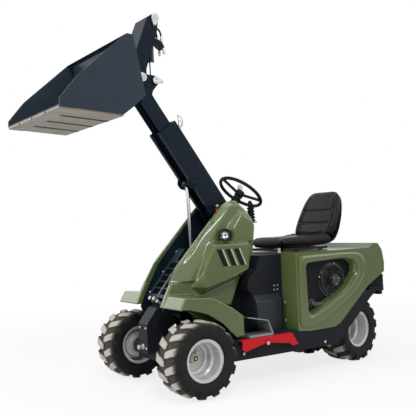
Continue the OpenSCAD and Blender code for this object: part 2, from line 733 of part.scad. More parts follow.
module telescope_rod() {
  color("silver") on_boom() translate([130, 0, tele_z]) rotate([0, 90, 0]) cylinder(h = boom_len - 292, r = 12);
}

// Point of the boom's frame in the machine's frame, side view
function boom_point(p) = [-pivot_back + p[0] * cos(boom_angle) - p[1] * sin(boom_angle),
  pivot_z + p[0] * sin(boom_angle) + p[1] * cos(boom_angle)];
function reach(a, b) = norm(b - a);
function lean(a, b) = atan2(b[1] - a[1], b[0] - a[0]);

// Places a cylinder's piece with X from point a toward point b in the side view
module between(a, b) { machine() translate([a[0], 0, a[1]]) rotate([0, -lean(a, b), 0]) children(); }

lift_top = boom_point(lift_eye);
lift_barrel_len = 640;

// A cylinder's barrel, hollow for its rod, with the eye at its foot
module barrel(len, r, eye, pin, rod) {
  rotate([0, 90, 0]) difference() {
    translate([0, 0, eye - 6]) cylinder(h = len - eye + 6, r = r);
    translate([0, 0, eye + 30]) cylinder(h = len - eye - 50, r = r - 6);
    translate([0, 0, eye + 30]) cylinder(h = len, r = rod + run_fit);
  }
  difference() {
    bar_y(0, 0, eye, -22, 22);
    bar_y(0, 0, pin + run_fit, -30, 30);
  }
}

// A rod whose eye carries a short pin of its own, so that its far pivot is open
module rod(len, full, r, eye, pin, half) {
  rotate([0, 90, 0]) translate([0, 0, full - len]) cylinder(h = len - eye + 4, r = r);
  bar_y(full, 0, eye, -18, 18);
  bar_y(full, 0, pin, -half, half);
}

module lift_barrel() { color("#15171b") between(lift_base, lift_top) barrel(lift_barrel_len, 32, 28, pin_r, 13); }
module lift_rod() {
  color("silver") between(lift_base, lift_top) rod(552, reach(lift_base, lift_top), 13, eye_r, 14, 44);
}

// The hitch's two pins where its outlines were drawn, and how far the boom's sizes have moved them
hitch_home = [124.1, 2168.15];
top_home = [8, 2600];
hitch_step = boom_point(head_pin) - hitch_home;
hitch_top = top_home + hitch_step;
tilt_low = boom_point(horn_pin);
hitch_y = 90;
hitch_t = 12;

module at_hitch() { machine() translate([hitch_step[0], 0, hitch_step[1]]) children(); }

module tilt_barrel() { color("#15171b") between(hitch_top, tilt_low) barrel(296, 27, 24, 14, 11); }
module tilt_rod() {
  color("silver") between(hitch_top, tilt_low) rod(240, reach(hitch_top, tilt_low), 11, 20, 12, 20);
}

// The quick hitch: two side plates, the front plate between them and the two pins
module quick_hitch() {
  color("#1a212d") at_hitch() difference() {
    union() {
      both() slab([[-20, 2590], [-14, 2618], [20, 2628], [66, 2600], [190, 2290], [206, 2200], [215, 2110],
        [190, 2090], [150, 2100], hitch_home - [30, 40], hitch_home + [-36, 10], [88, 2230], [-6, 2490]],
        hitch_y - hitch_t, hitch_y);
      slab([[66, 2600], [190, 2290], [206, 2200], [215, 2110], [203, 2108], [194, 2198], [179, 2287], [56, 2595]],
        -hitch_y + hitch_t, hitch_y - hitch_t);
      bar_y(hitch_home[0], hitch_home[1], pin_r, -hitch_y - 8, hitch_y + 8);
      both() bar_y(hitch_home[0], hitch_home[1], 24, hitch_y, hitch_y + 8);
      bar_y(top_home[0], top_home[1], 14, -hitch_y - 10, hitch_y + 10);
      both() bar_y(top_home[0], top_home[1], 26, hitch_y - hitch_t, hitch_y + 8);
    }
  }
}

bucket_outer = [[893, 1864], [893, 1906], [798, 2022], [775, 2048], [434, 2342], [391, 2338], [367, 2222],
  [315, 1958], [400, 1886], [472, 1832]];
bucket_inner = [[960, 1876], [470, 1842], [406, 1894], [324, 1962], [375, 2220], [398, 2330], [445, 2342],
  [700, 2400], [1000, 2100]];

module bucket() {
  half = bucket_w / 2;
  color("#2b3440") at_hitch() {
    difference() {
      slab(bucket_outer, -half, half);
      slab(bucket_inner, -half + bucket_t, half - bucket_t);
    }
    both() slab([[172, 2292], [160, 2200], [160, 2112], [180, 2094], [346, 2094], [350, 2108], [386, 2290]],
      hitch_y + gap, hitch_y + 16);
  }
}

module wear_strips() {
  half = bucket_w / 2;
  lane = bucket_w / 4;
  color("#6b6661") at_hitch() for (i = [0:3]) translate([0, -half + i * lane, 0])
    slab([[893, 1864 - gap], [472, 1832 - gap], [472, 1822], [893, 1852]], 12, lane - 12);
}

chassis_frame();
floor_deck();
footrest();  // footrest_left
mirror([0, 1, 0]) footrest();  // footrest_right
boom_lock();
tower_frame();
grille_panel();
front_post();
tower_cover();  // tower_cover_left
mirror([0, 1, 0]) tower_cover();  // tower_cover_right
headlamp();  // headlamp_left
mirror([0, 1, 0]) headlamp();  // headlamp_right
machine() hub_motor();  // hub_motor_left
mirror([0, 1, 0]) machine() hub_motor();  // hub_motor_right
front_wheel_place() rim();  // rim_front_left
mirror([0, 1, 0]) front_wheel_place() rim();  // rim_front_right
rear_wheel_place() rim();  // rim_rear_left
rear_wheel_place_right() rim();  // rim_rear_right
front_wheel_place() tyre();  // tyre_front_left
mirror([0, 1, 0]) front_wheel_place() tyre();  // tyre_front_right
rear_wheel_place() tyre();  // tyre_rear_left
rear_wheel_place_right() tyre();  // tyre_rear_right
rear_axle_beam();
steer_place() knuckle();  // knuckle_left
steer_place_right() knuckle();  // knuckle_right
steering_rod();
steering_column();
steering_wheel();
control_lever();
seat_box();
seat_hinge();
seat_base();
seat();
rear_hood();
side_panel(true);  // side_panel_left
mirror([0, 1, 0]) side_panel(false);  // side_panel_right
fan_guard();
fan_rotor();
exhaust_pipe();
engine_block();
rear_box();
boom_outer();
boom_inner();
telescope_barrel();
telescope_rod();
lift_barrel();
lift_rod();
quick_hitch();
tilt_barrel();
tilt_rod();
bucket();
wear_strips();
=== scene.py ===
import bpy
import bmesh
import json
import math
from mathutils import Vector, Matrix


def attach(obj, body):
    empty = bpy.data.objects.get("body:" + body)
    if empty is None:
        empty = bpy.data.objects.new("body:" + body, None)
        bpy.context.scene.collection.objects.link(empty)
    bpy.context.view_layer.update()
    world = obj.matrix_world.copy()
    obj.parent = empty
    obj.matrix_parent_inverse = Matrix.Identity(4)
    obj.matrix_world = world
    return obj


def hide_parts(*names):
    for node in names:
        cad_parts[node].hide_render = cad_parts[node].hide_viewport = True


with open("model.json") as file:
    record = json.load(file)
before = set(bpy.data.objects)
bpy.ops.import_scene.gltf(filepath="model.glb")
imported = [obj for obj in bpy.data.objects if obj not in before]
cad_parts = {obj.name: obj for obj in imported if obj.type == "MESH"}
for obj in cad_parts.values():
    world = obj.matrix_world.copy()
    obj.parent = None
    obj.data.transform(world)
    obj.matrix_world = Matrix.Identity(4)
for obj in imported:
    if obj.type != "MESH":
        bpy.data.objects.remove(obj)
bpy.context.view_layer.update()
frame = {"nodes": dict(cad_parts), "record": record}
NODES = frame["nodes"]

# Driving dimensions in millimetres, from the front axle: x ahead, y to the left, z up
AXLE_Z = 254
FRONT_TRACK_HALF = 450
WHEELBASE = 1545
KINGPIN_Y = 95
KNUCKLE_LENGTH = 145
BOOM_PIVOT = (-490, 1228)
HORN_PIN = (3, 2160)
HITCH_PIVOT = (124, 2168)
HITCH_TOP_PIN = (8, 2600)
LIFT_EYE = (300, -70)
LAMP_CENTRE = (-404, 262, 1048)
FAN_CENTRE = (-1282, 668)
HOOD_FRONT_X = -880
CONSOLE_Y = 280
CHASSIS_Y = 440
DECK_Z = 335

# Angles of the photo's pose
BOOM_ANGLE = math.radians(54.5)
REAR_STEER = math.radians(10)

# The front axle in the row frame, in metres
ROW_SHIFT = 0.4725

SIDES = (-1, 1)
SHORT = {-1: "r", 1: "l"}
LONG = {1: "left", -1: "right"}


def at(x, y, z):
    """A point of the machine's own frame, in millimetres from the front axle, as a point of the row frame."""
    return Vector((x / 1000 + ROW_SHIFT, y / 1000, z / 1000))


def boom(x, y, z):
    """A point of the raised boom's own frame, with x along it from its pivot."""
    c, s = math.cos(BOOM_ANGLE), math.sin(BOOM_ANGLE)
    return at(BOOM_PIVOT[0] + x * c - z * s, y, BOOM_PIVOT[1] + x * s + z * c)


# Camera, solved from the photo
EYE = (2.9025, 4.326, 1.129)
YAW, PITCH, ROLL = math.radians(-123.527), math.radians(1.355), math.radians(-2.412)
FOCAL_PIXELS = 696.156
PICTURE_PIXELS = 416
SENSOR_MM = 36


def make_camera():
    ahead = Vector((math.cos(PITCH) * math.cos(YAW), math.cos(PITCH) * math.sin(YAW), math.sin(PITCH)))
    level = Vector((math.sin(YAW), -math.cos(YAW), 0))
    upright = level.cross(ahead)
    right = math.cos(ROLL) * level + math.sin(ROLL) * upright
    up = -math.sin(ROLL) * level + math.cos(ROLL) * upright
    place = Matrix((right, up, -ahead)).transposed().to_4x4()
    place.translation = Vector(EYE)
    data = bpy.data.cameras.new("camera")
    data.sensor_width = SENSOR_MM
    data.lens = FOCAL_PIXELS / PICTURE_PIXELS * SENSOR_MM
    data.clip_end = 200
    cam = bpy.data.objects.new("camera", data)
    cam.matrix_world = place
    bpy.context.scene.collection.objects.link(cam)
    bpy.context.scene.camera = cam


make_camera()
bpy.context.scene.view_settings.view_transform = "Standard"


# Node helpers
def new_tree(name):
    m = bpy.data.materials.new(name)
    m.use_nodes = True
    t = m.node_tree
    t.nodes.clear()
    return m, t, t.nodes.new("ShaderNodeOutputMaterial")


def principled(t, out):
    """A Principled shader wired to the surface."""
    p = t.nodes.new("ShaderNodeBsdfPrincipled")
    t.links.new(p.outputs["BSDF"], out.inputs["Surface"])
    return p


def object_place(t):
    """Each point's place in its own object, which every pattern follows."""
    return t.nodes.new("ShaderNodeTexCoord").outputs["Object"]


def noise(t, place, scale, detail=4, rough=0.6):
    n = t.nodes.new("ShaderNodeTexNoise")
    n.inputs["Scale"].default_value = scale
    n.inputs["Detail"].default_value = detail
    n.inputs["Roughness"].default_value = rough
    t.links.new(place, n.inputs["Vector"])
    return n.outputs["Fac"]


def ramp(t, fac, stops):
    """A colour ramp with (position, colour) stops."""
    n = t.nodes.new("ShaderNodeValToRGB")
    e = n.color_ramp.elements
    while len(e) < len(stops):
        e.new(1)
    for k, (position, color) in enumerate(stops):
        e[k].position = position
        e[k].color = (*color, 1)
    t.links.new(fac, n.inputs["Fac"])
    return n.outputs["Color"]


def map_range(t, fac, from_min, from_max, to_min, to_max):
    n = t.nodes.new("ShaderNodeMapRange")
    for k, v in zip(("From Min", "From Max", "To Min", "To Max"), (from_min, from_max, to_min, to_max)):
        n.inputs[k].default_value = v
    t.links.new(fac, n.inputs["Value"])
    return n.outputs["Result"]


def maths(t, operation, a, b):
    """A sum, product or maximum of two sockets."""
    n = t.nodes.new("ShaderNodeMath")
    n.operation = operation
    t.links.new(a, n.inputs[0])
    t.links.new(b, n.inputs[1])
    return n.outputs[0]


def distance(t, vector):
    n = t.nodes.new("ShaderNodeVectorMath")
    n.operation = "LENGTH"
    t.links.new(vector, n.inputs[0])
    return n.outputs["Value"]


def mix(t, fac, a, b, blend="MIX"):
    """Two colours mixed; the factor and the colours are sockets or plain values."""
    n = t.nodes.new("ShaderNodeMix")
    n.data_type = "RGBA"
    n.blend_type = blend
    if isinstance(fac, float):
        n.inputs["Factor"].default_value = fac
    else:
        t.links.new(fac, n.inputs["Factor"])
    colors = [s for s in n.inputs if s.type == "RGBA"]
    for socket, v in zip(colors, (a, b)):
        if isinstance(v, tuple):
            socket.default_value = (*v, 1)
        else:
            t.links.new(v, socket)
    return [s for s in n.outputs if s.type == "RGBA"][0]


def blend_shaders(t, fac, a, b, out):
    """Two shaders mixed and wired to the output; the factor is a socket or a number."""
    n = t.nodes.new("ShaderNodeMixShader")
    if isinstance(fac, float):
        n.inputs[0].default_value = fac
    else:
        t.links.new(fac, n.inputs[0])
    t.links.new(a.outputs[0], n.inputs[1])
    t.links.new(b.outputs[0], n.inputs[2])
    t.links.new(n.outputs[0], out.inputs["Surface"])


def add_bump(t, p, height, strength, depth=0.002):
    """Fine relief on a shader's normal."""
    n = t.nodes.new("ShaderNodeBump")
    n.inputs["Strength"].default_value = strength
    n.inputs["Distance"].default_value = depth
    t.links.new(height, n.inputs["Height"])
    t.links.new(n.outputs["Normal"], p.inputs["Normal"])


def scaled(color, k):
    return tuple(min(1, v * k) for v in color)


def surface(name, color, rough, metal=0.0, vary=0.12, scale=9, bump=0.0, bump_scale=300, coat=0.0,
            dust=0.0, dust_color=(0.42, 0.38, 0.33), wear=0.0, wear_color=(0.45, 0.44, 0.42), rough_vary=0.12,
            spec=0.5):
    """A procedural finish: varying tone, patchy gloss, fine relief, settled dust and small scuffs."""
    m, t, out = new_tree(name)
    p = principled(t, out)
    place = object_place(t)
    tone = noise(t, place, scale, 5)
    col = ramp(t, tone, [(0.3, scaled(color, 1 - vary)), (0.7, scaled(color, 1 + vary))])
    if dust:
        patches = noise(t, place, scale * 2.3, 8, 0.7)
        col = mix(t, map_range(t, patches, 0.45, 0.8, 0.0, dust), col, dust_color)
    if wear:
        scuffs = noise(t, place, 46, 10, 0.75)
        col = mix(t, map_range(t, scuffs, 0.66, 0.72, 0.0, wear), col, wear_color)
    t.links.new(col, p.inputs["Base Color"])
    gloss = noise(t, place, scale * 3.1, 6)
    smoothest, roughest = max(0.03, rough - rough_vary), min(1, rough + rough_vary)
    t.links.new(map_range(t, gloss, 0.3, 0.7, smoothest, roughest), p.inputs["Roughness"])
    p.inputs["Metallic"].default_value = metal
    p.inputs["Specular IOR Level"].default_value = spec
    p.inputs["Coat Weight"].default_value = coat
    p.inputs["Coat Roughness"].default_value = 0.15
    if bump:
        add_bump(t, p, noise(t, place, bump_scale, 3), bump)
    return m


def rubber(name, stops, rough):
    """Rubber toned by the distance from the axle: clean side walls, brown grooves, and lug tops pale with
    dust and with painted light.
    """
    m, t, out = new_tree(name)
    p = principled(t, out)
    place = object_place(t)
    sep = t.nodes.new("ShaderNodeSeparateXYZ")
    t.links.new(place, sep.inputs[0])
    com = t.nodes.new("ShaderNodeCombineXYZ")
    for k in "XZ":
        t.links.new(sep.outputs[k], com.inputs[k])
    outward = map_range(t, distance(t, com.outputs[0]), 0.12, 0.26, 0.0, 1.0)
    smears = noise(t, place, 30, 8, 0.7)
    jog = map_range(t, smears, 0.3, 0.7, -0.022, 0.022)
    col = ramp(t, maths(t, "ADD", outward, jog), stops)
    fine = ramp(t, noise(t, place, 90, 6, 0.7), [(0.3, (0.72, 0.72, 0.72)), (0.7, (1, 1, 1))])
    t.links.new(mix(t, 1.0, col, fine, "MULTIPLY"), p.inputs["Base Color"])
    t.links.new(map_range(t, smears, 0.3, 0.7, rough - 0.1, min(1, rough + 0.1)), p.inputs["Roughness"])
    p.inputs["Specular IOR Level"].default_value = 0.22
    add_bump(t, p, noise(t, place, 260, 4), 0.3)
    return m


def gauze(name):
    """Fine black wire cloth, woven in the bump."""
    m, t, out = new_tree(name)
    p = principled(t, out)
    place = object_place(t)
    threads = []
    for direction in "YZ":
        w = t.nodes.new("ShaderNodeTexWave")
        w.bands_direction = direction
        w.inputs["Scale"].default_value = 190
        w.inputs["Distortion"].default_value = 0.4
        t.links.new(place, w.inputs["Vector"])
        threads.append(w.outputs["Fac"])
    weave = maths(t, "MAXIMUM", *threads)
    col = ramp(t, weave, [(0.4, (0.001, 0.001, 0.001)), (0.9, (0.003, 0.003, 0.003))])
    t.links.new(col, p.inputs["Base Color"])
    p.inputs["Roughness"].default_value = 0.6
    p.inputs["Specular IOR Level"].default_value = 0.05
    add_bump(t, p, weave, 0.5, 0.001)
    return m


def lens_glass(name):
    """Clear glass of a lamp with faint smears."""
    m, t, out = new_tree(name)
    glass = t.nodes.new("ShaderNodeBsdfGlass")
    glass.inputs["Color"].default_value = (0.97, 0.98, 0.98, 1)
    glass.inputs["IOR"].default_value = 1.45
    smears = noise(t, object_place(t), 60, 5)
    t.links.new(map_range(t, smears, 0.3, 0.7, 0.0, 0.06), glass.inputs["Roughness"])
    blend_shaders(t, 0.6, glass, t.nodes.new("ShaderNodeBsdfTransparent"), out)
    return m


# Finishes
OLIVE = surface("olive_moulding", (0.084, 0.12, 0.036), 0.24, vary=0.035, scale=3.5, bump=0.04,
                bump_scale=700, coat=0.6, dust=0.03, dust_color=(0.3, 0.33, 0.2), rough_vary=0.04, spec=0.4)
NAVY = surface("navy_paint", (0.006, 0.0125, 0.022), 0.28, vary=0.07, scale=3, bump=0.05, bump_scale=420,
               dust=0.02, dust_color=(0.05, 0.055, 0.06), rough_vary=0.04, spec=0.1)
CHARCOAL = surface("charcoal_paint", (0.0125, 0.0145, 0.019), 0.42, vary=0.08, scale=4, bump=0.07,
                   bump_scale=420, dust=0.05, dust_color=(0.07, 0.07, 0.068), rough_vary=0.05, spec=0.1)
# The console's dark paint made lighter for the step box, as painted light on its faces that turn up to the
# lamps.
LIT_STEP_PAINT = surface("step_box_lit_paint", (0.02, 0.024, 0.032), 0.34, vary=0.08, scale=4, bump=0.06,
                     bump_scale=420, dust=0.05, dust_color=(0.07, 0.07, 0.068), rough_vary=0.05, spec=0.3)
SLATE = surface("bucket_paint", (0.019, 0.03, 0.043), 0.38, vary=0.1, scale=3, bump=0.07, dust=0.06,
                dust_color=(0.08, 0.09, 0.1), rough_vary=0.05, spec=0.2)
GRILLE = surface("grille_paint", (0.014, 0.034, 0.042), 0.32, vary=0.08, scale=5, bump=0.04, dust=0.03,
                 rough_vary=0.04, spec=0.12)
RED = surface("red_paint", (0.55, 0.007, 0.012), 0.3, vary=0.06, scale=5, bump=0.03, coat=0.1,
              rough_vary=0.05, spec=0.15)
BRASS = surface("pale_yellow_paint", (0.5, 0.47, 0.3), 0.4, scale=30, bump=0.04)
SILVER = surface("rim_silver", (0.6, 0.605, 0.61), 0.34, metal=0.3, vary=0.05, bump=0.05, bump_scale=500,
                 dust=0.16, dust_color=(0.42, 0.4, 0.37), rough_vary=0.06)
STEEL = surface("bare_steel", (0.5, 0.51, 0.53), 0.3, metal=0.9, vary=0.1, scale=30, bump=0.05,
                bump_scale=500)
CHROME = surface("chrome_rod", (0.75, 0.76, 0.78), 0.1, metal=1.0, vary=0.03, rough_vary=0.04)
ZINC = surface("zinc_plate", (0.55, 0.57, 0.56), 0.38, metal=0.65, scale=36, bump=0.06, bump_scale=400)
IRON = surface("cast_iron", (0.02, 0.021, 0.023), 0.55, metal=0.3, vary=0.25, scale=20, bump=0.4,
               bump_scale=260, dust=0.12, spec=0.3)
# Beige-brown worn steel of the wear strips and the cutting edge, made lighter than its own tone as painted
# light on their downward faces.
WORN_AND_LIT = surface("worn_and_lit_steel", (0.3, 0.26, 0.225), 0.5, metal=0.15, vary=0.16, scale=8, bump=0.2,
               bump_scale=180, dust=0.3, dust_color=(0.22, 0.19, 0.165), wear=0.35,
               wear_color=(0.42, 0.38, 0.34))
TREAD_PLATE = surface("tread_plate", (0.3, 0.31, 0.32), 0.36, metal=0.6, vary=0.15, scale=16, bump=0.25,
                      bump_scale=120)
SOOT = surface("sooty_pipe", (0.052, 0.046, 0.04), 0.6, vary=0.25, scale=14, bump=0.25, dust=0.2,
               dust_color=(0.1, 0.085, 0.07))
WIRES = surface("guard_wire", (0.024, 0.024, 0.026), 0.25, vary=0.2, scale=30, bump=0.03, coat=0.3, spec=0.6)
MIRROR = surface("lamp_reflector", (0.8, 0.81, 0.83), 0.12, metal=0.9, vary=0.05, scale=20, rough_vary=0.05)
BLACK = surface("black_plastic", (0.0075, 0.0075, 0.008), 0.5, vary=0.15, scale=20, bump=0.12, bump_scale=900,
                dust=0.03, dust_color=(0.06, 0.06, 0.06), spec=0.12)
GLOSS_BLACK = surface("black_gloss", (0.006, 0.006, 0.0065), 0.22, vary=0.15, scale=12, bump=0.03, coat=0.1,
                      spec=0.25)
CREAM = surface("cream_plastic", (0.5, 0.47, 0.42), 0.4, vary=0.06, scale=20, bump=0.03)
BULB = surface("lamp_bulb", (0.09, 0.09, 0.095), 0.2, vary=0.1, scale=60, bump=0.02)
VINYL = surface("seat_vinyl", (0.009, 0.009, 0.01), 0.36, vary=0.1, scale=10, bump=0.14, bump_scale=620,
                rough_vary=0.05, spec=0.14)
HOSE = surface("hose_rubber", (0.009, 0.009, 0.01), 0.5, vary=0.2, scale=40, bump=0.2, bump_scale=800,
               spec=0.15)
WIRE_RED = surface("wire_red", (0.16, 0.012, 0.11), 0.4, vary=0.1, scale=40, bump=0.05)
# Tyre tones by radius: the pale lug tops are partly dust and partly painted light.
RUBBER = rubber("tyre_rubber", [(0.0, (0.009, 0.009, 0.0095)), (0.77, (0.0105, 0.0103, 0.01)),
                                (0.825, (0.055, 0.047, 0.039)), (0.87, (0.1, 0.086, 0.071)),
                                (0.915, (0.5, 0.465, 0.42)), (1.0, (0.62, 0.585, 0.54))], 0.7)
GAUZE = gauze("black_gauze")
LENS = lens_glass("lamp_lens")

BY_SLOT = {"olive": OLIVE, "navy": NAVY, "charcoal": CHARCOAL, "slate": SLATE, "black_plastic": BLACK,
           "black_paint": GLOSS_BLACK, "rim_silver": SILVER, "tyre": RUBBER, "steel": STEEL, "chrome": CHROME,
           "red": RED, "vinyl": VINYL, "iron": IRON, "grille": GRILLE, "tread_metal": TREAD_PLATE,
           "strip_steel": WORN_AND_LIT, "lamp": MIRROR}
BY_NODE = {"fan_guard": WIRES, "exhaust_pipe": SOOT, "seat_box": CHARCOAL, "headlamp_left": BLACK,
           "headlamp_right": BLACK}
for part in frame["record"]["subparts"]:
    o = NODES[part["node"]]
    if not o.material_slots:
        o.data.materials.append(None)
    for s in o.material_slots:
        s.link = "OBJECT"
        s.material = BY_NODE.get(part["node"], BY_SLOT[part["material_slot"]])


# Mesh helpers
def piece(name, bm, mat, body, smooth=30):
    """A named piece from a bmesh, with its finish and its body."""
    me = bpy.data.meshes.new(name)
    bmesh.ops.recalc_face_normals(bm, faces=bm.faces)
    bm.to_mesh(me)
    bm.free()
    o = bpy.data.objects.new(name, me)
    bpy.context.scene.collection.objects.link(o)
    me.materials.append(mat)
    if smooth:
        me.shade_smooth()
        me.set_sharp_from_angle(angle=math.radians(smooth))
    if body:
        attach(o, body)
    return o


def bevel(o, width, segments=2):
    m = o.modifiers.new("bevel", "BEVEL")
    m.width = width
    m.segments = segments
    m.limit_method = "ANGLE"
    m.angle_limit = math.radians(35)
    m.harden_normals = False
    m.use_clamp_overlap = True
    return o


def thicken(o, thickness):
    """Gives an open sheet its thickness, half to each side."""
    m = o.modifiers.new("thick", "SOLIDIFY")
    m.thickness = thickness
    m.offset = 0
    return o


def subdivide(o):
    m = o.modifiers.new("sub", "SUBSURF")
    m.levels = m.render_levels = 1


def soften(o, voxel, turns):
    """Rounds every crease of a moulded solid by a voxel skin and some smoothing, as modifiers."""
    m = o.modifiers.new("skin", "REMESH")
    m.mode = "VOXEL"
    m.voxel_size = voxel
    m.use_smooth_shade = True
    k = o.modifiers.new("round", "SMOOTH")
    k.factor = 0.5
    k.iterations = turns


def join(bm, rows, closed=True):
    """Quads between neighbouring rows of points."""
    for r0, r1 in zip(rows, rows[1:]):
        n = len(r0)
        for k in range(n if closed else n - 1):
            j = (k + 1) % n
            bm.faces.new((r0[k], r0[j], r1[j], r1[k]))


def close_ends(bm, rows):
    bm.faces.new(list(reversed(rows[0])))
    bm.faces.new(rows[-1])


def skin(bm, rows):
    """A closed skin over rows of places, capped at both ends."""
    rings = [[bm.verts.new(p) for p in row] for row in rows]
    join(bm, rings)
    close_ends(bm, rings)


def around(s, q, radius, n):
    """Offsets of n points round a circle in the plane of two unit vectors."""
    angles = [2 * math.pi * k / n for k in range(n)]
    return [radius * (math.cos(a) * s + math.sin(a) * q) for a in angles]


def tube(name, points, radius, mat, body, ring=12, step=6):
    """A round tube along a smooth curve through the points."""
    ends = [points[0]] + points + [points[-1]]
    path = []
    for p0, p1, p2, p3 in zip(ends, ends[1:], ends[2:], ends[3:]):
        for k in range(step):
            u = k / step
            path.append(0.5 * ((2 * p1) + (p2 - p0) * u + (2 * p0 - 5 * p1 + 4 * p2 - p3) * u * u
                               + (-p0 + 3 * p1 - 3 * p2 + p3) * u ** 3))
    path.append(points[-1])
    rows = []
    side = (path[1] - path[0]).normalized().orthogonal().normalized()
    for i, p in enumerate(path):
        d = (path[min(i + 1, len(path) - 1)] - path[max(i - 1, 0)]).normalized()
        side = (side - d * side.dot(d)).normalized()
        rows.append([p + offset for offset in around(side, d.cross(side), radius, ring)])
    bm = bmesh.new()
    skin(bm, rows)
    return piece(name, bm, mat, body, 40)


def lathe_into(bm, profile, centre, axis, n=32):
    """Turns (radius, along) points about an axis and adds the skin to bm."""
    a = Vector(axis).normalized()
    s = a.orthogonal().normalized()
    q = a.cross(s)
    rings = []
    for r, along in profile:
        hub = Vector(centre) + a * along
        if r < 1e-6:
            rings.append([bm.verts.new(hub)])
        else:
            rings.append([bm.verts.new(hub + offset) for offset in around(s, q, r, n)])
    for r0, r1 in zip(rings, rings[1:]):
        if len(r0) == len(r1):
            join(bm, [r0, r1])
            continue
        for k in range(n):
            j = (k + 1) % n
            bm.faces.new((r0[0], r1[j], r1[k]) if len(r0) == 1 else (r0[k], r0[j], r1[0]))


def turned(name, profile, centre, axis, mat, body, n=32, smooth=35):
    """A piece turned about an axis from (radius, along) points in metres."""
    bm = bmesh.new()
    lathe_into(bm, profile, centre, axis, n)
    return piece(name, bm, mat, body, smooth)


def bolts(name, places, size, mat, body, head=0.6):
    """Hexagon bolts with washers: places are (point, axis)."""
    bm = bmesh.new()
    s, h = size, size * head
    washer = [(0, -0.0004), (s * 1.1, -0.0004), (s * 1.1, s * 0.16), (s * 1.02, s * 0.22), (0, s * 0.22)]
    hexagon = [(0, 0), (s * 0.86, 0), (s * 0.86, h * 0.86), (s * 0.72, h), (0, h)]
    for centre, axis in places:
        lathe_into(bm, washer, centre, axis, 20)
        lathe_into(bm, hexagon, centre, axis, 6)
    return piece(name, bm, mat, body, 35)


def both_sides(places):
    """Bolt places on the right and left side, pointing out, from (x, distance from the middle, z)."""
    return [(at(x, s * y, z), (0, s, 0)) for s in SIDES for x, y, z in places]


def flat(name, outline, y0, y1, mat, body, mirror=False, width=0.0006):
    """A plate with a side outline of (x, z) points between two distances from the centre plane."""
    bm = bmesh.new()
    for side in ((1, -1) if mirror else (1,)):
        skin(bm, [[at(x, side * y, z) for x, z in outline] for y in (y0, y1)])
    o = piece(name, bm, mat, body, 30)
    return bevel(o, width, 1) if width else o


# Edges of the carried-over solids are rounded as folded plate, castings and mouldings are
EDGES = {(0.0008, 1): ("fan_guard",),
         (0.0012, 1): ("side_panel_left", "side_panel_right"),
         (0.0015, 1): ("wear_strips", "grille_panel", "footrest_left", "footrest_right"),
         (0.0015, 2): ("exhaust_pipe", "control_lever"),
         (0.002, 2): ("tower_frame", "chassis_frame", "boom_inner", "quick_hitch", "boom_lock",
                      "steering_column", "seat_base"),
         (0.0022, 2): ("bucket",),
         (0.0025, 2): ("front_post", "boom_outer"),
         (0.004, 2): ("seat_box", "rear_box"),
         (0.006, 2): ("engine_block",),
         (0.006, 3): ("rear_hood",)}
for (width, segments), nodes in EDGES.items():
    for node in nodes:
        bevel(NODES[node], width, segments)
for side in LONG.values():
    soften(NODES["tower_cover_" + side], 0.005, 14)


# Wheels
TYRE_HALF = [(0.1275, 0.098), (0.141, 0.0985), (0.143, 0.110), (0.1485, 0.1165), (0.160, 0.1205),
             (0.175, 0.1235), (0.190, 0.1245), (0.205, 0.1225), (0.216, 0.118), (0.2245, 0.110),
             (0.2305, 0.098), (0.2345, 0.07), (0.2365, 0.035)]
TYRE_PROFILE = TYRE_HALF + [(0.237, 0.0)] + [(r, -y) for r, y in reversed(TYRE_HALF)]
SIDE_RIBS = ((0.152, 0.1188), (0.2, 0.1243))
LUGS_A_SIDE = 14

# Sections of a lug from the middle out: distance from it, top and root radius, lead in degrees, half width
LUG_STATIONS = [(0.003, 0.2505, 0.234, 0.0, 0.012), (0.011, 0.2535, 0.234, 0.6, 0.019),
                (0.030, 0.2538, 0.234, 2.0, 0.0225), (0.058, 0.2528, 0.232, 4.2, 0.023),
                (0.086, 0.2505, 0.228, 6.4, 0.0245), (0.108, 0.2455, 0.220, 8.2, 0.0265),
                (0.1195, 0.2385, 0.214, 9.4, 0.0275), (0.1245, 0.228, 0.208, 10.0, 0.0275),
                (0.1248, 0.214, 0.200, 10.4, 0.026)]


def lug_row(start, side, station):
    """One section of a lug: six points from its root over the top to its root."""
    y, top, root, lead, half = station
    middle = start + math.radians(lead)
    row = []
    for r, w in ((root, half + 0.005), (top - 0.003, half + 0.0012), (top, half - 0.002),
                 (top, -half + 0.002), (top - 0.003, -half - 0.0012), (root, -half - 0.005)):
        a = middle + w / 0.25
        row.append((r * math.cos(a), side * y, r * math.sin(a)))
    return row


def tyre(tag, place):
    """A tyre with wide slanted lugs that alternate left and right, made about its own axle (local Y)."""
    middle, axle, fine = (0, 0, 0), (0, 1, 0), 72
    bm = bmesh.new()
    lathe_into(bm, TYRE_PROFILE, middle, axle, fine)
    for r, y in SIDE_RIBS:
        for s in SIDES:
            low, high = s * (y - 0.001), s * (y + 0.0012)
            lathe_into(bm, [(r - 0.002, low), (r - 0.0008, high), (r + 0.0008, high), (r + 0.002, low)],
                       middle, axle, fine)
    for s in SIDES:
        for i in range(LUGS_A_SIDE):
            start = 2 * math.pi * (i + (0.5 if s > 0 else 0)) / LUGS_A_SIDE
            rows = [[bm.verts.new(p) for p in lug_row(start, s, station)] for station in LUG_STATIONS]
            join(bm, rows, closed=False)
            close_ends(bm, rows)
    o = piece("lugged_tyre_" + tag, bm, RUBBER, None, 28)
    o.matrix_world = place
    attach(o, "wheel_" + tag)
    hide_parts("tyre_" + tag)


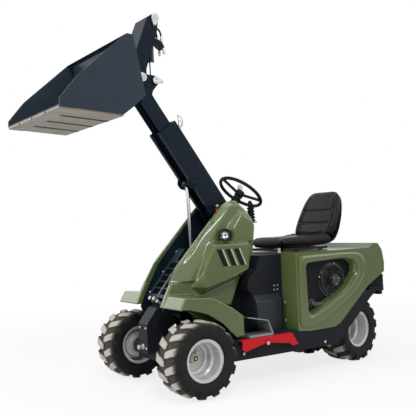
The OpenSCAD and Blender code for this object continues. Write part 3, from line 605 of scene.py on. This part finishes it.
def wheel_trim(tag, place, side):
    """Nuts, the pale ring round the hub's end, the axle nut and the valve, on the rim's outer side."""
    body = "wheel_" + tag
    name = "wheel_" + tag
    out = place.to_3x3() @ Vector((0, side, 0))

    def spot(x, y, z):
        return place @ Vector((x, side * y, z))
    nut_circle = 0.046
    turns = [math.pi / 4 + k * math.pi / 2 for k in range(4)]
    nuts = [(spot(nut_circle * math.cos(a), -0.0405, nut_circle * math.sin(a)), out) for a in turns]
    bolts(name + "_nuts", nuts, 0.0125, STEEL, body, 0.9)
    turned(name + "_hub_ring", [(0.0235, -0.006), (0.0235, 0.0012), (0.0255, 0.0024), (0.031, 0.0024),
                                (0.0335, 0.001), (0.034, -0.006)], spot(0, -0.012, 0), out, BRASS, body, 40)
    turned(name + "_hub_cup", [(0, -0.0215), (0.0195, -0.0215), (0.0195, -0.0125), (0.017, -0.0105),
                               (0, -0.0105)], spot(0, 0, 0), out, GLOSS_BLACK, body)
    bolts(name + "_axle_nut", [(spot(0, -0.0115, 0), out)], 0.009, STEEL, body, 0.8)
    root = spot(0.077, -0.012, -0.092)
    tip = (spot(0.070, 0.035, -0.083) - root).normalized()
    turned(name + "_valve", [(0, -0.012), (0.0075, -0.012), (0.0075, 0.004), (0.0045, 0.012), (0.0042, 0.03),
                             (0.0052, 0.031), (0.0052, 0.042), (0.0038, 0.044), (0, 0.044)],
           root, tip, BLACK, body, 16)


def wheels():
    swing_x = KNUCKLE_LENGTH * math.sin(REAR_STEER)
    swing_y = KINGPIN_Y + KNUCKLE_LENGTH * math.cos(REAR_STEER)
    for s in (1, -1):
        for tag, centre, turn in (("front_", at(0, s * FRONT_TRACK_HALF, AXLE_Z), 0.0),
                                  ("rear_", at(-WHEELBASE - s * swing_x, s * swing_y, AXLE_Z), REAR_STEER)):
            place = Matrix.Translation(centre) @ Matrix.Rotation(turn, 4, "Z")
            tyre(tag + LONG[s], place)
            wheel_trim(tag + LONG[s], place, s)


# Boom and hitch
def arc(centre, r, start, sweep, n):
    return [(centre[0] + r * math.cos(start + sweep * k / n), centre[1] + r * math.sin(start + sweep * k / n))
            for k in range(n + 1)]


def teardrop(head, r, tab, tab_r):
    """The outline of a round head with a narrower tab."""
    a = math.atan2(tab[1] - head[1], tab[0] - head[0])
    b = math.acos((r - tab_r) / math.hypot(tab[0] - head[0], tab[1] - head[1]))
    return arc(head, r, a + b, 2 * math.pi - 2 * b, 14) + arc(tab, tab_r, a - b, 2 * b, 6)


def keepers(name, pin, tab, y, deep, head_r, body):
    """A zinc keeper plate over a pin on both sides, the bolt in its tab and the pin's dished cap."""
    face = y + deep
    flat(name, teardrop(pin, head_r, tab, 13), y, face, ZINC, body, mirror=True, width=0.0014)
    bolts(name + "_bolts", both_sides([(tab[0], face - 0.2, tab[1])]), 0.009, STEEL, body, 0.5)
    lip = 0.0006 * deep
    bm = bmesh.new()
    for centre, out in both_sides([(pin[0], face, pin[1])]):
        lathe_into(bm, [(0.017, -0.001), (0.017, lip / 2), (0.0145, lip), (0.011, lip), (0.0095, lip / 2),
                        (0, lip / 2)], centre, out)
    piece(name + "_caps", bm, STEEL, body, 35)


COUPLER = [(0, -0.004), (0.0085, -0.004), (0.0085, 0.010), (0.0115, 0.012), (0.0115, 0.022), (0.0085, 0.024),
           (0.0085, 0.03), (0.0105, 0.032), (0.0105, 0.037), (0.006, 0.039), (0, 0.039)]


def hitch_trim():
    """Keeper plates over the pins, the tilt cylinder's hoses with their couplers and bracket."""
    keepers("top_pin_keeper", HITCH_TOP_PIN, (14, 2552), 98.2, 6, 30, "tool")
    keepers("pivot_keeper", HITCH_PIVOT, (146, 2190), 98.2, 6, 30, "tool")
    keepers("horn_keeper", HORN_PIN, (-42, 2156), 71.2, 3, 26, "boom_slide")
    for k, (z, out) in enumerate(((2545, 0), (2462, -16))):
        for s in SIDES:
            y = 15 * s
            route = [at(-14, y, z), at(-40, y * 1.2, z + 5), at(-62 + out / 2, y * 1.6, z - 10),
                     at(-72 + out, y * 1.9, z - 36), at(-74 + out, y * 2, z - 58)]
            tube("tilt_hose_%d_%s" % (k, SHORT[s]), route, 0.0068, HOSE, "tilt_tube")
            turned("tilt_coupler_%d_%s" % (k, SHORT[s]), COUPLER, route[-1], route[-1] - route[-2], ZINC,
                   "tilt_tube", 20)
        turned("tilt_clamp_%d" % k, [(0.0275, -0.006), (0.031, -0.005), (0.031, 0.005), (0.0275, 0.006)],
               at(8, 0, z), (0, 0, 1), GLOSS_BLACK, "tilt_tube", 36)
    flat("coupler_bracket", [(-18, 2476), (-19, 2448), (-88, 2398), (-101, 2408), (-96, 2424), (-46, 2466)],
         -32, 32, NAVY, "tilt_tube", width=0.002)
    eye, head = at(HORN_PIN[0], 0, HORN_PIN[1]), at(HITCH_TOP_PIN[0], 0, HITCH_TOP_PIN[1])
    # A cream collar at the rod's lower end: a painted highlight for the glint there.
    turned("rod_end_glint_collar", [(0.0112, 0.021), (0.0135, 0.022), (0.0135, 0.027), (0.0112, 0.028)],
           eye, head - eye, CREAM, "tilt_bar", 28)


def boom_trim():
    """Hoses along the inner boom, wire loops at the mouth, plugs by the pivot, the lift eye's paint."""
    for s in SIDES:
        route = [boom(1016, s * 34, 128), boom(1004, s * 42, 96), boom(986, s * 47, 66),
                 boom(960, s * 47.5, 56.5), boom(700, s * 47.5, 56.2), boom(330, s * 47.5, 56.2)]
        tube("boom_hose_" + SHORT[s], route, 0.005, HOSE, "boom_slide", 10, 8)
        turned("lift_pin_cap_" + SHORT[s], [(0, -0.001), (0.024, -0.001), (0.024, 0.004), (0.019, 0.007),
                                            (0.010, 0.007), (0.009, 0.004), (0, 0.004)],
               boom(LIFT_EYE[0], s * 83, LIFT_EYE[1]), (0, s, 0), NAVY, "boom")
    wide_loop = [boom(668, 30, 92), boom(690, 34, 122), boom(724, 26, 150), boom(742, 8, 172),
                 boom(722, -2, 190), boom(688, 4, 186), boom(664, 14, 160), boom(668, 24, 126),
                 boom(654, 28, 92)]
    tube("wire_loop", wide_loop, 0.0021, WIRE_RED, "boom", 8, 8)
    small_loop = [boom(648, 26, 92), boom(672, 30, 118), boom(702, 24, 142), boom(700, 12, 166),
                  boom(672, 10, 158), boom(652, 16, 128), boom(640, 22, 92)]
    tube("wire_loop_inner", small_loop, 0.0019, WIRE_RED, "boom", 8, 8)
    turned("wire_clip", [(0, -0.001), (0.007, -0.001), (0.007, 0.018), (0.005, 0.022), (0, 0.022)],
           boom(658, 28, 91), boom(0, 0, 1) - boom(0, 0, 0), WIRE_RED, "boom", 16)
    side_bolts = [(boom(x, s * 75, z), (0, s, 0)) for s in SIDES for z in (60, -40) for x in (676, 722)]
    bolts("boom_side_bolts", side_bolts, 0.007, NAVY, "boom", 0.5)
    turned("lift_eye_paint", [(0.0135, -0.0186), (0.0272, -0.0186), (0.0276, -0.015), (0.0276, 0.015),
                              (0.0272, 0.0186), (0.0135, 0.0186)],
           boom(LIFT_EYE[0], 0, LIFT_EYE[1]), (0, 1, 0), NAVY, "lift_bar", 40)
    plug = [(0, -0.001), (0.011, -0.001), (0.011, 0.008), (0.008, 0.012), (0.004, 0.013), (0, 0.013)]
    turned("white_plug", plug, boom(42, 75, 2), (0, 1, 0), CREAM, "boom", 24)
    turned("red_plug", plug, boom(22, 75, -20), (0, 1, 0), RED, "boom", 24)


def bucket_floor():
    """The cutting edge under the lip, and black plates between the wear strips behind it as painted shade in
    their gaps.
    """
    back, front, lip = 470, 794, 892

    def below(x, drop):
        """A point under the bucket's sloping floor."""
        return (x, 1822 + (x - 472) * 30 / 421 - drop)
    edge = [below(lip, 0), below(front, 0), below(front, 1.5), below(lip, 1.2)]
    flat("cutting_edge", edge, -479, 479, WORN_AND_LIT, "tool", width=0.0005)
    # Black plates in the gaps between the wear strips: painted shade.
    shade_slot_side = [below(front, -0.4), below(back, -0.4), below(back, 0.8), below(front, 0.8)]
    for k in (-1, 0, 1):
        middle = k * 240
        flat("painted_shade_slot_%d" % (k + 2), shade_slot_side, middle - 19, middle + 19, BLACK, "tool",
             width=0.0003)


# Front
def arches():
    """Black plates inside the front fenders, as painted shade for the dark under them, which also close the
    view from the wheels into the tower.
    """
    flat("fender_shade_plates", [(40, 586), (-20, 596), (-236, 592), (-345, 500), (-372, 440), (-372, 352),
                           (-300, 352), (-255, 470), (-130, 560)],
         296, 299, BLACK, "machine", mirror=True, width=0.001)


def grille_trim():
    """The bright strip between the panel's columns, the gauze behind its openings and the panel's bolts."""
    foot = at(14, 0, 640)
    up, out = Vector((-0.643, 0, 0.766)), Vector((0.766, 0, 0.643))

    def on_panel(along, y, height):
        """A point on the sloping panel: metres up from its foot, to the side and off its middle plane."""
        return foot + up * along + Vector((0, y, 0)) + out * height
    half, low, high = 0.0016, 0.0061, 0.0083
    bm = bmesh.new()
    skin(bm, [[on_panel(along, y, h) for y, h in ((-half, low), (half, low), (half, high), (-half, high))]
              for along in (0.006, 0.296)])
    piece("grille_bar", bm, STEEL, "machine", 30)
    bm = bmesh.new()
    bm.faces.new([bm.verts.new(on_panel(along, y, -0.004))
                  for along, y in ((0.004, -0.12), (0.302, -0.12), (0.302, 0.12), (0.004, 0.12))])
    thicken(piece("grille_backing", bm, GAUZE, "machine", 30), 0.001)
    places = [(on_panel(along, y, 0.006), out) for along in (0.02, 0.2, 0.385) for y in (-0.138, 0.138)]
    bolts("panel_bolts", places, 0.007, ZINC, "machine")


def post_trim():
    """Hydraulic couplings at the panel's foot, and the front post's bolts and coupling."""
    for k, (y, z, mat, slot) in enumerate(((-28, 604, ZINC, "steel"), (0, 598, BLACK, "black_plastic"),
                                           (28, 604, ZINC, "steel"))):
        turned("coupling_%d" % k, [(0, -0.03), (0.010, -0.03), (0.010, -0.002), (0.014, 0), (0.014, 0.012),
                                   (0.0115, 0.014), (0.0115, 0.03), (0.0135, 0.032), (0.0135, 0.044),
                                   (0.010, 0.046), (0, 0.046)],
               at(38, y, z), (0.8, 0, 0.6), mat, "machine", 24)
    places = [(at(150.2, y, z), (1, 0, 0)) for y in (-42, 42) for z in (290, 430)]
    bolts("post_bolts", places, 0.008, ZINC, "machine")
    turned("post_coupling", [(0, -0.001), (0.019, -0.001), (0.019, 0.006), (0.013, 0.008), (0.013, 0.030),
                             (0.016, 0.032), (0.016, 0.040), (0.009, 0.042), (0, 0.042)],
           at(150, 0, 300), (1, 0, 0), ZINC, "machine", 24)


def stripes():
    """Plain slanted stripes on both covers in the place of the lettering."""
    low, high, lean, inside, outside = 830, 950, 52, 292.2, 292.9
    bands = (("dark", 0, 40, BLACK, "black_plastic"), ("pale", 46, 10, CREAM, None))
    for k in range(3):
        for tag, start, broad, mat, slot in bands:
            x = -300 - 74 * k - start
            outline = [(x, high), (x - broad, high), (x - broad - lean, low), (x - lean, low)]
            flat("stripe_%s_%d" % (tag, k), outline, inside, outside, mat, "machine", mirror=True,
                 width=0)


def headlamps():
    """A reflector bowl, its bulb and a clear lens in each lamp's black bezel."""
    x, y, z = LAMP_CENTRE
    bowl = [(0.0365, 0.0372), (0.033, 0.030), (0.026, 0.0215), (0.015, 0.0165), (0.006, 0.0152), (0, 0.0152)]
    bulb = [(0.0065, 0.0155), (0.0065, 0.022), (0.0055, 0.026), (0.003, 0.0285), (0, 0.029)]
    lens_out = [(0.0362, 0.0352), (0.0362, 0.0362), (0.028, 0.0385), (0.016, 0.0398), (0, 0.0402)]
    lens_in = [(0.0362, 0.0352), (0.028, 0.0372), (0.016, 0.0385), (0, 0.0389)]
    for s, tag in LONG.items():
        centre, ahead = at(x, s * y, z), (1, s, 0)
        turned("lamp_reflector_" + tag, bowl, centre, ahead, MIRROR, "machine", 40, 60)
        turned("lamp_bulb_" + tag, bulb, centre, ahead, BULB, "machine", 20, 60)
        bm = bmesh.new()
        for profile in (lens_out, lens_in):
            lathe_into(bm, profile, centre, ahead, 40)
        piece("lamp_lens_" + tag, bm, LENS, "machine", 60)


def bellows():
    """The ribbed boot of the control lever and the pale gate beside the steering column."""
    profile = [(0.031, 0.006)]
    for k in range(6):
        z, big = 0.01 + k * 0.0225, 0.0345 - 0.0014 * k
        profile += [(big - 0.009, z), (big - 0.002, z + 0.005), (big, z + 0.0095), (big - 0.002, z + 0.014),
                    (big - 0.009, z + 0.019)]
    profile += [(0.0155, 0.148), (0.007, 0.152)]
    turned("lever_boot", profile, at(-742, 120, 1128), (0, 0, 1), BLACK, "machine", 40, 50)
    flat("column_gate", [(-744, 1372), (-768, 1392), (-750, 1428), (-722, 1424), (-716, 1404)], -6, 7, ZINC,
         "machine", width=0.002)


# Hood, console and tail
RECESS = [(-969, 790), (-985, 815), (-1036, 822), (-1364, 835), (-1455, 815), (-1490, 780), (-1490, 707),
          (-1373, 593), (-1035, 437), (-998, 440), (-978, 465)]
CREST = [(-900, 385), (-905, 860), (-930, 880), (-1500, 880), (-1570, 850), (-1590, 780), (-1585, 690),
         (-1480, 570), (-1120, 372), (-1000, 350), (-925, 352)]
RECESS_MIDDLE_Z = 660
FRAME_POINTS = 180

# Sections of the frame: share of the way from the recess to its outer line, distance from the centre plane
FRAME_STATIONS = [(-0.2, 387), (-0.19, 396), (-0.17, 408), (-0.13, 422), (-0.07, 436), (0.0, 448),
                  (0.08, 456), (0.18, 461.5), (0.32, 464.5), (0.5, 465.5), (0.68, 464.5), (0.8, 461.5),
                  (0.9, 457), (0.97, 452.5), (1.02, 449.5)]


def between(a, b, u):
    return (a[0] + (b[0] - a[0]) * u, a[1] + (b[1] - a[1]) * u)


def rounded(outline, passes=3, keep=0.18):
    """Corners of a closed outline cut and cut again, so that they come out round."""
    for _ in range(passes):
        pairs = zip(outline, outline[1:] + outline[:1])
        outline = [between(a, b, u) for a, b in pairs for u in (keep, 1 - keep)]
    return outline


def spread(outline, count):
    """Points at even steps along a closed outline, starting from the one straight ahead of its middle."""
    first = max(range(len(outline)), key=lambda k: outline[k][0] - abs(outline[k][1] - RECESS_MIDDLE_Z) * 0.6)
    pts = outline[first:] + outline[:first] + [outline[first]]
    if sum((b[0] - a[0]) * (b[1] + a[1]) for a, b in zip(pts, pts[1:])) > 0:
        pts.reverse()
    steps = [math.dist(a, b) for a, b in zip(pts, pts[1:])]
    total, out, run, k = sum(steps), [], 0.0, 0
    for i in range(count):
        want = total * i / count
        while run + steps[k] < want:
            run += steps[k]
            k += 1
        out.append(between(pts[k], pts[k + 1], (want - run) / steps[k]))
    return out


def hood_frames():
    """The glossy frame round each recess: a round crest and a lip that turns in to the black panel."""
    pairs = list(zip(spread(rounded(RECESS), FRAME_POINTS), spread(rounded(CREST), FRAME_POINTS)))
    for s, tag in LONG.items():
        bm = bmesh.new()
        rows = []
        for share, y in FRAME_STATIONS:
            line = [between(a, b, share) for a, b in pairs]
            rows.append([bm.verts.new(at(x, s * y, z)) for x, z in line])
        join(bm, rows)
        thicken(piece("hood_frame_" + tag, bm, OLIVE, "machine", 60), 0.002)


def rear_apron():
    """The black folded plates that close the tail under the hood, and the backing behind the recess."""
    flat("tail_cheeks", [(-1836, 560), (-1836, 672), (-1742, 676), (-1600, 598), (-1600, 560)],
         392, 398, BLACK, "machine", mirror=True, width=0.001)
    flat("recess_backing", [(-1100, 470), (-1330, 470), (-1330, 600), (-1100, 600)],
         375, 378, BLACK, "machine", mirror=True, width=0.001)
    bm = bmesh.new()
    fold = ((-1600, 560), (-1836, 560), (-1836, 672), (-1742, 676))
    join(bm, [[bm.verts.new(at(x, y, z)) for x, z in fold] for y in (-397, 397)], closed=False)
    bevel(thicken(piece("tail_wrap", bm, BLACK, "machine", 30), 0.003), 0.002)


def console_trim():
    """The console's lid, a little proud over its hinge line, and the step box at its foot."""
    lid_y = CONSOLE_Y + 3
    flat("console_lid", [(-866, 645), (-575, 645), (-575, 693), (-592, 727), (-650, 781), (-690, 860),
                         (-866, 860)],
         CONSOLE_Y - 0.5, lid_y, CHARCOAL, "machine", mirror=True, width=0.0012)
    front = -612
    bm = bmesh.new()
    for s in SIDES:
        skin(bm, [[at(x, s * y, z) for x, z in ((back, DECK_Z), (front, DECK_Z), (front, top), (back, top))]
                  for y, back, top in ((CONSOLE_Y - 1, -852, 602), (322, -838, 556))])
    # The step box's lighter paint is painted light.
    bevel(piece("console_step", bm, LIT_STEP_PAINT, "machine", 30), 0.004)
    hinge = [(x, y, z) for x in (-838, -806) for y, z in ((CONSOLE_Y, 628), (lid_y, 658))]
    bolts("console_bolts", both_sides(hinge), 0.0055, ZINC, "machine", 0.5)


def side_trim():
    """Bolts of the hood's front, the fan guard and its motor, the chassis side and the boom lock."""
    fan_x, fan_z = FAN_CENTRE

    def fan_bolts(name, radius, y, turns, size):
        spots = [at(fan_x + radius * math.cos(a), y, fan_z + radius * math.sin(a)) for a in turns]
        bolts(name, [(spot, (0, 1, 0)) for spot in spots], size, ZINC, "machine", 0.7)
    hood_front = [(at(HOOD_FRONT_X, s * 308, z), (1, 0, 0)) for s in SIDES for z in (529, 396)]
    bolts("hood_bolts", hood_front, 0.009, ZINC, "machine")
    fan_bolts("fan_guard_bolts", 127, 390, [math.radians(14 + 90 * k) for k in range(4)], 0.006)
    fan_bolts("fan_motor_bolts", 30, 441, (0.6, 2.694, 4.789), 0.0035)
    chassis = both_sides([(-391, CHASSIS_Y, 232), (-1142, CHASSIS_Y, 220)])
    bolts("chassis_bolts", chassis, 0.0095, ZINC, "machine")
    bolts("lock_bolt", [(at(-564, 494, 290), (0, 1, 0))], 0.0115, STEEL, "machine", 0.7)


# Seat, as spines of (x, z, lean in degrees, half width, thickness, bolster height)
CUSHION = [(-968, 962, 4, 174, 30, 0), (-976, 964, 4, 202, 50, 6), (-1000, 966, 2, 217, 66, 12),
           (-1080, 966, -1, 223, 70, 16), (-1180, 963, -2, 226, 70, 20), (-1290, 962, -2, 227, 72, 30),
           (-1380, 966, -6, 226, 74, 44), (-1440, 974, -14, 222, 68, 50), (-1478, 984, -24, 206, 44, 26)]
BACK = [(-1462, 992, -62, 190, 38, 30), (-1476, 1012, -65, 214, 58, 48), (-1500, 1056, -68, 226, 64, 50),
        (-1530, 1124, -70, 227, 64, 46), (-1562, 1202, -72, 219, 62, 38), (-1588, 1272, -74, 203, 58, 28),
        (-1606, 1326, -76, 178, 50, 14), (-1615, 1353, -78, 147, 38, 4), (-1618, 1363, -80, 112, 20, 0)]
SHELL = [(-985, 934, 2, 194, 18, 0), (-1010, 932, 0, 210, 22, 0), (-1200, 932, -2, 218, 22, 0),
         (-1420, 936, -8, 216, 24, 0), (-1506, 962, -38, 210, 26, 0), (-1540, 1020, -66, 218, 26, 0),
         (-1573, 1110, -70, 220, 24, 0), (-1608, 1220, -73, 208, 24, 0), (-1634, 1310, -77, 174, 22, 0),
         (-1640, 1345, -80, 124, 12, 0)]
PAD_VOXEL = 0.006
PAD_SWELL = 0.006
CLOTH_FRAMES = 20
CLOTH = {"quality": 5, "mass": 0.3, "tension_stiffness": 40, "compression_stiffness": 40,
         "shear_stiffness": 20, "bending_stiffness": 4, "use_pressure": True, "uniform_pressure_force": 4.0}
CROSS_CHANNELS = (1.106, 1.206)


def pad_rows(spine):
    """Rounded sections along a spine, with bolsters that rise toward both sides."""
    rows = []
    for x, z, lean, half, thick, bolster in spine:
        a = math.radians(lean)
        up = Vector((-math.sin(a), 0, math.cos(a)))
        row = []
        for k in range(28):
            t = 2 * math.pi * k / 28
            c, s = math.cos(t), math.sin(t)
            y = half * (abs(c) ** 0.55) * (1 if c >= 0 else -1)
            h = thick / 2 * (abs(s) ** 0.6) * (1 if s >= 0 else -1)
            if h > 0:
                h += bolster * max(0, (abs(y) / half - 0.62) / 0.38) ** 1.5 * (abs(s) ** 0.5)
            row.append(at(x, y, z) + up * (h / 1000))
        rows.append(row)
    return rows


def lofted(name, spine, mat, body, smooth):
    bm = bmesh.new()
    skin(bm, pad_rows(spine))
    return piece(name, bm, mat, body, smooth)


def evaluated(o):
    return o.evaluated_get(bpy.context.evaluated_depsgraph_get())


def remesh(o):
    """Replaces the piece's mesh by an even voxel skin."""
    m = o.modifiers.new("remesh", "REMESH")
    m.mode = "VOXEL"
    m.voxel_size = PAD_VOXEL
    bpy.context.view_layer.update()
    me = bpy.data.meshes.new_from_object(evaluated(o))
    o.modifiers.clear()
    old = o.data
    o.data = me
    me.materials.clear()
    me.materials.append(VINYL)
    bpy.data.meshes.remove(old)


def inflate(o):
    """Blows the pad up a little as cloth and keeps each point within a cap of where it started."""
    start = [v.co.copy() for v in o.data.vertices]
    c = o.modifiers.new("cloth", "CLOTH")
    for k, v in CLOTH.items():
        setattr(c.settings, k, v)
    c.settings.effector_weights.gravity = 0
    c.point_cache.frame_start = 1
    c.point_cache.frame_end = CLOTH_FRAMES
    for f in range(1, CLOTH_FRAMES + 1):
        bpy.context.scene.frame_set(f)
    blown = evaluated(o).to_mesh()
    moved = [v.co.copy() for v in blown.vertices]
    evaluated(o).to_mesh_clear()
    o.modifiers.clear()
    for v, a, b in zip(o.data.vertices, start, moved):
        d = b - a
        if d.length > PAD_SWELL:
            d = d * (PAD_SWELL / d.length)
        v.co = a + d
    bpy.context.scene.frame_set(1)


def groove(o, away, depth, reach):
    """Sews a channel: points near the line that away measures are pulled in along their normals."""
    o.data.update()
    for v in o.data.vertices:
        d = away(v.co)
        if d is not None and abs(d) < reach:
            v.co = v.co - v.normal * depth * math.cos(d / reach * math.pi / 2) ** 2


def on_back_face(p):
    """Whether a point lies on the front face of the back pad."""
    return p.x > at(-1466 - (p.z * 1000 - 985) * 0.4, 0, 0).x - 0.06


def cross_channel(height):
    def away(p):
        if on_back_face(p) and abs(p.y) < 0.19:
            return p.z - height - 0.35 * max(0, abs(p.y) - 0.15)
    return away


def back_edge(side):
    def away(p):
        if on_back_face(p) and p.z < 1.3:
            return side * p.y - 0.158
    return away


def cushion_edge(side):
    def away(p):
        if p.z > 0.965 and p.x < at(-1010, 0, 0).x:
            return side * p.y - 0.165
    return away


def pad(name, spine, cross_lines, edge):
    """A padded piece: lofted, blown up as cloth, then sewn across and along both edges."""
    o = lofted(name, spine, VINYL, None, 0)
    remesh(o)
    inflate(o)
    for height in cross_lines:
        groove(o, cross_channel(height), 0.009, 0.012)
    for s in SIDES:
        groove(o, edge(s), 0.006, 0.009)
    subdivide(o)
    o.data.shade_smooth()
    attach(o, "seat_unit")
    return o


def seat():
    cushion = pad("seat_cushion_pad", CUSHION, (), cushion_edge)
    pad("seat_back_pad", BACK, CROSS_CHANNELS, back_edge)
    shell = lofted("seat_shell", SHELL, BLACK, "seat_unit", 50)
    subdivide(shell)
    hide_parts("seat")


wheels()
seat()
hitch_trim()
boom_trim()
bucket_floor()
arches()
grille_trim()
post_trim()
stripes()
headlamps()
bellows()
hood_frames()
rear_apron()
console_trim()
side_trim()


# Studio
def white_world():
    """A soft white light on the object, and plain white where the camera, gloss or glass sees past it."""
    world = bpy.data.worlds.new("studio")
    bpy.context.scene.world = world
    world.use_nodes = True
    t = world.node_tree
    t.nodes.clear()
    out = t.nodes.new("ShaderNodeOutputWorld")
    soft, white = t.nodes.new("ShaderNodeBackground"), t.nodes.new("ShaderNodeBackground")
    for background, strength in ((soft, 0.27), (white, 1.0)):
        background.inputs["Color"].default_value = (1, 1, 1, 1)
        background.inputs["Strength"].default_value = strength
    rays = t.nodes.new("ShaderNodeLightPath").outputs
    seen = maths(t, "MAXIMUM", rays["Is Camera Ray"], rays["Is Glossy Ray"])
    blend_shaders(t, maths(t, "MAXIMUM", seen, rays["Is Transmission Ray"]), soft, white, out)


def pale_floor():
    """A floor that takes the shadow near the object and fades to white away from it."""
    me = bpy.data.meshes.new("floor")
    me.from_pydata([(-60, -60, 0), (60, -60, 0), (60, 60, 0), (-60, 60, 0)], [], [(0, 1, 2, 3)])
    floor = bpy.data.objects.new("floor", me)
    bpy.context.scene.collection.objects.link(floor)
    m, t, out = new_tree("floor_pale")
    matt, white = t.nodes.new("ShaderNodeBsdfDiffuse"), t.nodes.new("ShaderNodeEmission")
    matt.inputs["Color"].default_value = (0.9, 0.9, 0.9, 1)
    white.inputs["Color"].default_value = (1, 1, 1, 1)
    fade = map_range(t, distance(t, object_place(t)), 1.6, 5.0, 0.8, 1.0)
    seen = t.nodes.new("ShaderNodeLightPath").outputs["Is Camera Ray"]
    blend_shaders(t, maths(t, "MULTIPLY", seen, fade), matt, white, out)
    me.materials.append(m)


def area_lamp(name, place, aim_z, size, power):
    """A square lamp that looks at a height over the row frame's origin."""
    data = bpy.data.lights.new(name, "AREA")
    data.shape = "RECTANGLE"
    data.size = data.size_y = size
    data.energy = power
    o = bpy.data.objects.new(name, data)
    bpy.context.scene.collection.objects.link(o)
    o.location = place
    o.rotation_euler = (Vector((0, 0, aim_z)) - Vector(place)).to_track_quat("-Z", "Y").to_euler()


white_world()
pale_floor()
area_lamp("key", (2.2, 5.0, 5.5), 0.8, 1.8, 205)
area_lamp("side", (-4.5, 4.0, 3.5), 0.7, 3, 60)
area_lamp("top", (0, -0.5, 6.5), 0.5, 5, 110)
area_lamp("far", (2.0, -5.5, 3.5), 1.0, 3, 40)
area_lamp("front", (6.2, 0.4, 3.0), 0.7, 2.6, 190)
